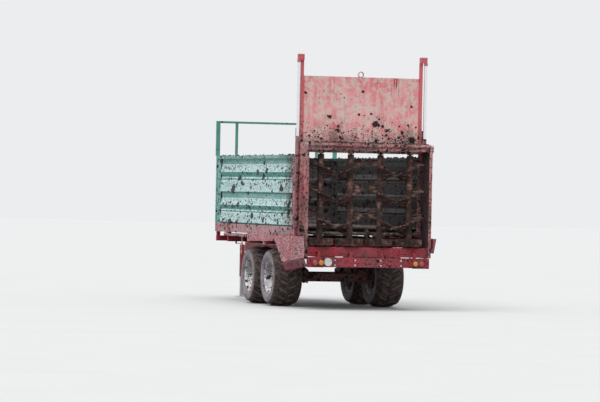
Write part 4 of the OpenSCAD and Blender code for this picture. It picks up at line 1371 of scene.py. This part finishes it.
@dataclass
class Apron:
    """Rubber apron between the front wall's foot and the floor, hung on a rail and clamped by a bar."""

    rail_low: Triple = (1.984, -1.118, 1.523)
    rail_high: Triple = (2.016, 1.118, 1.563)
    thick: float = 0.006
    half_width: float = 1.146
    top: float = 1.560
    lying_z: float = 1.499
    bend: float = 0.045
    lying: float = 0.215
    sag: float = 0.014
    bar_half: float = 1.116
    bar_drop: tuple[float, float] = (0.006, 0.032)      # its upper and lower edge below the top
    bolts: int = 11
    bolts_half: float = 1.0602

    def build(self) -> None:
        """Build the rail, the rubber sheet, the clamping bar and its bolts."""
        rail = block(self.rail_low, self.rail_high)
        apply_bevel(rail, 0.003, 2)
        deliver(rail, "apron_rail", Finish.GREEN)
        deliver(self._sheet(), "apron_sheet", Finish.APRON, smooth=60.0)
        face = self.rail_low[0] - self.thick
        upper, lower = (self.top - drop for drop in self.bar_drop)
        bar = block((face - 0.006, -self.bar_half, lower), (face, self.bar_half, upper))
        apply_bevel(bar, 0.0015, 1)
        deliver(bar, "apron_bar", Finish.LINE)
        heads = [turned((face - 0.007, self.bolts_half * (2 * k / (self.bolts - 1) - 1),
                         (upper + lower) / 2), BACK, 0.4 * k) for k in range(self.bolts)]
        deliver(copies(bolt(0.009, 0.008), heads), "apron_bolts", Finish.LINE)

    def _sheet(self) -> Thing:
        """Model the sheet upright and bend its lower part back over the floor.

        Returns:
            The sheet.
        """
        length = self.top - self.lying_z - self.bend + math.pi / 2 * self.bend + self.lying
        sheet = block((-self.thick / 2, -self.half_width, -length),
                      (self.thick / 2, self.half_width, 0.0))
        reshape(sheet, 23, self._bent)
        apply_bevel(sheet, 0.001, 1, 60.0)
        return sheet

    def _bent(self, flat: Vector) -> Vector:
        """Lay a point of the upright sheet on its bent path.

        Args:
            flat: place across the thickness, along the width and, from 0 down, along the length.

        Returns:
            The point in the machine's frame.
        """
        x = self.rail_low[0] - self.thick / 2
        straight = self.top - self.lying_z - self.bend
        past = -flat.z - straight
        if past <= 0.0:
            return Vector((x + flat.x, flat.y, self.top + flat.z))
        angle = min(past / self.bend, math.pi / 2)
        reach = self.bend + flat.x
        back = max(0.0, past - self.bend * math.pi / 2)
        # it lies on the chains and sags between them
        inner, outer = Conveyor().chains
        wave = math.sin(math.pi * (abs(flat.y) - inner) / (outer - inner))
        sag = self.sag * back / self.lying * abs(wave)
        return Vector((x - self.bend + reach * math.cos(angle) - back, flat.y,
                       self.lying_z + self.bend - reach * math.sin(angle) - sag))


class Grid(NamedTuple):
    """Bolts on both sides, one at every mix of x from the rear, y and z; the k-th turns spin + step * k."""

    xs: tuple[float, ...]
    ys: tuple[float, ...]
    zs: tuple[float, ...]
    spin: float = 0.0
    step: float = 0.0


class Row(NamedTuple):
    """Equal bolts that make one piece: their look, the radius of a head, where they face on the left."""

    finish: Finish
    slot: str
    size: float
    face: Triple
    grids: tuple[Grid, ...]
    body: str = "frame"


STRAP_X = tuple(x + SHIFT + dx for x in AXLES.values() for dx in (-0.082, 0.082))
BOLT_ROWS = {
    "portal_bolts": Row(Finish.PORTAL, "red_paint", 0.012, OUT, (
        Grid((0.735,), (1.2148,), (1.40, 1.61, 1.82, 2.03, 2.24, 2.45, 2.66), step=0.5),
        Grid((0.585,), (1.1625,), (1.10, 1.33), step=0.5))),
    "bearing_bolts": Row(Finish.LINE, "worn_steel", 0.011, IN, (
        Grid((0.648, 0.752), (1.1102,), (1.326, 1.416)),)),
    "unit_bolts": Row(Finish.UNIT, "red_paint", 0.013, UP, (
        Grid((0.210,), (0.28, 0.84), (3.000,), -0.088), Grid((0.370,), (0.28, 0.84), (3.000,), 0.088),
        Grid((0.12, 0.28, 0.44), (1.118,), (3.000,)))),
    "drive_bolts": Row(Finish.LINE, "worn_steel", 0.011, UP, (
        Grid((0.2299, 0.3501), (0.2199, 0.3401, 0.7799, 0.9001), (1.132,)),)),
    "rail_bolts": Row(Finish.RED, "red_paint", 0.012, OUT, (
        Grid((0.89, 1.59, 2.56, 3.79, 5.23, 6.05), (1.1998,), (1.344, 1.444), 0.3),)),
    "skirt_bolts": Row(Finish.RED, "red_paint", 0.010, OUT, (
        Grid((0.10, 0.45), (1.2398,), (1.07, 1.10), 0.3), Grid((0.89,), (1.2398,), (1.20,), 0.3),
        Grid((2.56,), (1.2398,), (1.22,), 0.3))),
    "strap_nuts": Row(Finish.GEAR, "running_gear", 0.017, DOWN, (
        Grid(STRAP_X, (0.505, 0.575), (AXLE_Z - 0.089,)),)),
    "pivot_caps": Row(Finish.GEAR, "running_gear", 0.030, OUT, (Grid((2.885,), (0.620,), (0.750,)),)),
    "hitch_bolts": Row(Finish.ZINC, "zinc", 0.014, AHEAD, (Grid((7.980,), (0.062,), (0.545, 0.655)),)),
    "frame_feet_bolts": Row(Finish.GREEN_BAR, "green_paint", 0.008, UP, (
        Grid((6.058, 6.085), (0.779, 0.847), (2.783,)),)),
    "cap_bolts": Row(Finish.GATE, "gate_paint", 0.010, BACK, (
        Grid((0.545,), (1.135, 1.185), (4.520, 4.565)),), "gate"),
}


@dataclass
class Bolts:
    """Bolts and nuts of the structure, row by row, and two on every tooth of the rotors."""

    rotor_x: float = 0.290 - SHIFT
    rotor_y: tuple[float, ...] = (-0.84, -0.28, 0.28, 0.84)
    teeth: int = 26
    first: float = 1.358
    rise: float = 0.480 / 9
    turn: float = math.radians(40.0)
    tilt: float = math.radians(23.0)
    on_tooth: tuple[Triple, ...] = ((0.202, -0.007, 0.011), (0.228, -0.007, 0.011))

    def build(self) -> None:
        """Add the bolts of the structure, the gate and the rotors."""
        for name, row in BOLT_ROWS.items():
            places = [place for grid in row.grids for place in self._both_sides(row.face, grid)]
            deliver(copies(bolt(row.size, row.size * 0.85), places), name, row.finish, row.body)
        for k, y in enumerate(self.rotor_y):
            number, hand = k + 1, -1 if k % 2 else 1
            deliver(copies(bolt(0.008, 0.0068), self._tooth_bolts(y, hand)), f"tooth_bolts_{number}",
                    Finish.ROTOR, f"rotor_{number}")

    def _both_sides(self, face: Triple, grid: Grid) -> list[Matrix]:
        """Return the places of a grid's bolts, first on the left, then on the right.

        Args:
            face: where they face on the left.
            grid: the bolts.

        Returns:
            The matrices.
        """
        spots = list(itertools.product(grid.xs, grid.ys, grid.zs))
        return [turned((x - SHIFT, sign * y, z), (face[0], sign * face[1], face[2]),
                       grid.spin + grid.step * k)
                for sign in SIDES.values() for k, (x, y, z) in enumerate(spots)]

    def _tooth_bolts(self, y: float, hand: int) -> list[Matrix]:
        """Return the places of two bolts on every tooth of a rotor.

        Args:
            y: the rotor's middle.
            hand: 1 for a right-handed flight, -1 for a left-handed one.

        Returns:
            The matrices.
        """
        tilt = Matrix.Rotation(hand * self.tilt, 4, "X")
        places = []
        for k in range(self.teeth):
            foot = Matrix.Translation((self.rotor_x, y, self.first + k * self.rise))
            tooth = foot @ Matrix.Rotation(hand * self.turn * k, 4, "Z") @ tilt
            places += [tooth @ Matrix.Translation(spot) for spot in self.on_tooth]
        return places


@dataclass
class Trim:
    """Small parts: the crank's grip, reflector rims, the skirt's plug and the caps of the top rails."""

    grip: Triple = (7.560 - SHIFT, 0.3779, 1.101)
    reflector: Triple = (4.165 - SHIFT, 1.212, 0.955)
    plug: Triple = (1.430 - SHIFT, 1.2405, 0.990)
    rail_x: tuple[float, float] = (0.796 - SHIFT, 0.802 - SHIFT)
    rail_y: float = 1.186
    rail_half: float = 0.0265
    rail_z: tuple[float, float] = (2.7125, 2.7735)

    def build(self) -> None:
        """Build every small part."""
        grip = cylinder(0.017, 0.086, self.grip, "Z", 20)
        for end in (1, -1):
            dished(grip, (0, 0, end), ((0.004, 0.003), (0.004, -0.001)))
        apply_bevel(grip, 0.003, 2)
        deliver(grip, "crank_grip", Finish.BLACK)

        x, y, z = self.reflector
        rims = [torus(0.041, 0.004, (x, sign * y, z), (math.pi / 2, 0.0, 0.0), (40, 8))
                for sign in SIDES.values()]
        deliver(joined(rims), "reflector_rims", Finish.BLACK)

        plug = cylinder(0.034, 0.010, self.plug, "Y", 32)
        dished(plug, OUT, ((0.006, 0.0), (0.004, -0.004), (0.010, 0.001)))
        apply_bevel(plug, 0.0015, 1)
        deliver(plug, "skirt_plug", Finish.BLACK)
        deliver(joined([self._rail_cap(sign) for sign in SIDES.values()]), "rail_caps",
                Finish.GREEN_BAR)

    def _rail_cap(self, sign: int) -> Thing:
        """Model the cap on the rear end of a top rail.

        Args:
            sign: 1 on the left, -1 on the right.

        Returns:
            The cap.
        """
        y = sign * self.rail_y
        low, high = zip(self.rail_x, (y - self.rail_half, y + self.rail_half), self.rail_z)
        cap = block(low, high)
        dished(cap, BACK, ((0.008, 0.0), (0.003, 0.0015)))
        apply_bevel(cap, 0.001, 1)
        return cap


class Ledge(NamedTuple):
    """A place where clods lie: how many, its x from the rear, its y, its height, a clod's largest size."""

    count: int
    xs: tuple[float, float]
    ys: tuple[float, float]
    z: float
    size: float


@dataclass
class Clods:
    """Manure that has dropped on ledges: rough lumps in rows that thin out to the front."""

    seed: int = 7
    ledges: tuple[Ledge, ...] = (
        Ledge(170, (0.82, 6.0), (1.160, 1.205), 2.773, 0.026),
        Ledge(100, (0.06, 0.52), (-1.12, 1.12), 3.000, 0.034),
        Ledge(90, (0.40, 0.52), (-1.10, 1.10), 3.000, 0.044),
        Ledge(40, (0.03, 0.05), (-1.10, 1.10), 0.952, 0.013),
        Ledge(50, (0.14, 0.44), (-1.10, 1.10), 1.132, 0.030),
        Ledge(70, (1.60, 4.20), (0.75, 1.15), 1.130, 0.024),
        Ledge(24, (0.65, 0.70), (1.170, 1.210), 1.010, 0.016))

    def build(self) -> None:
        """Scatter the lumps on the ledges that carry them."""
        dice = random.Random(self.seed)
        places = [self._place(dice, ledge, k) for ledge in self.ledges for k in range(ledge.count)]
        deliver(copies(self._lump(dice), places), "manure_clods", Finish.CLODS, smooth=60.0)

    def _place(self, dice: random.Random, ledge: Ledge, index: int) -> Matrix:
        """Throw one lump on a ledge.

        Args:
            dice: the seeded source of chance.
            ledge: where it falls.
            index: its number; on a ledge that each side has, odd ones fall on the right.

        Returns:
            Its matrix.
        """
        near = dice.random() ** 1.6
        x = ledge.xs[0] + (ledge.xs[1] - ledge.xs[0]) * near - SHIFT
        y = dice.uniform(*ledge.ys) * (-1 if ledge.ys[0] > 0 and index % 2 else 1)
        scale = ledge.size * (0.25 + 0.75 * dice.random() ** 2)
        turn = (Matrix.Rotation(dice.uniform(0, 6.28), 4, "Z")
                @ Matrix.Rotation(dice.uniform(0, 6.28), 4, "X"))
        flat = Matrix.Diagonal((scale * 1.2, scale, scale * 0.7, 1.0))
        return Matrix.Translation((x, y, ledge.z + scale * 0.35)) @ flat @ turn

    def _lump(self, dice: random.Random) -> Thing:
        """Model one rough lump of radius 1.

        Args:
            dice: the seeded source of chance.

        Returns:
            The master lump.
        """
        clear()
        bpy.ops.mesh.primitive_ico_sphere_add(subdivisions=2, radius=1.0)
        lump = bpy.context.active_object
        for vertex in lump.data.vertices:
            vertex.co *= dice.uniform(0.68, 1.12)
        return lump


# Assembly

def dress_nodes() -> None:
    """Give every node of the frame its procedural material."""
    for finish, names in NODE_FINISH.items():
        for name in names:
            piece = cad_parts[name]
            piece.data.materials.clear()
            piece.data.materials.append(Store.get(finish))


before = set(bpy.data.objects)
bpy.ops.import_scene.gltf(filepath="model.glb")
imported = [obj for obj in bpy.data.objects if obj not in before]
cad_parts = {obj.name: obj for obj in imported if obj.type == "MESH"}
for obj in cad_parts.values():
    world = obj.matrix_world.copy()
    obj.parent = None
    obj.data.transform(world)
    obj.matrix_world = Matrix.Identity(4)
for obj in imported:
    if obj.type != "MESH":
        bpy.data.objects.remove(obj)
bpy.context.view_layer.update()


def main() -> None:
    """Build the camera, the light, the finishes and the fittings in order."""
    logging.basicConfig(level=logging.INFO, format="%(name)s: %(message)s")
    clear()
    View().place()
    Studio().place()
    dress_nodes()
    for assembly in (Tyres(), Wheels(), RearEnd(), Conveyor(), Apron(), Bolts(), Trim(), Clods()):
        LOG.info("building %s", type(assembly).__name__)
        assembly.build()


if __name__ == "__main__":
    main()
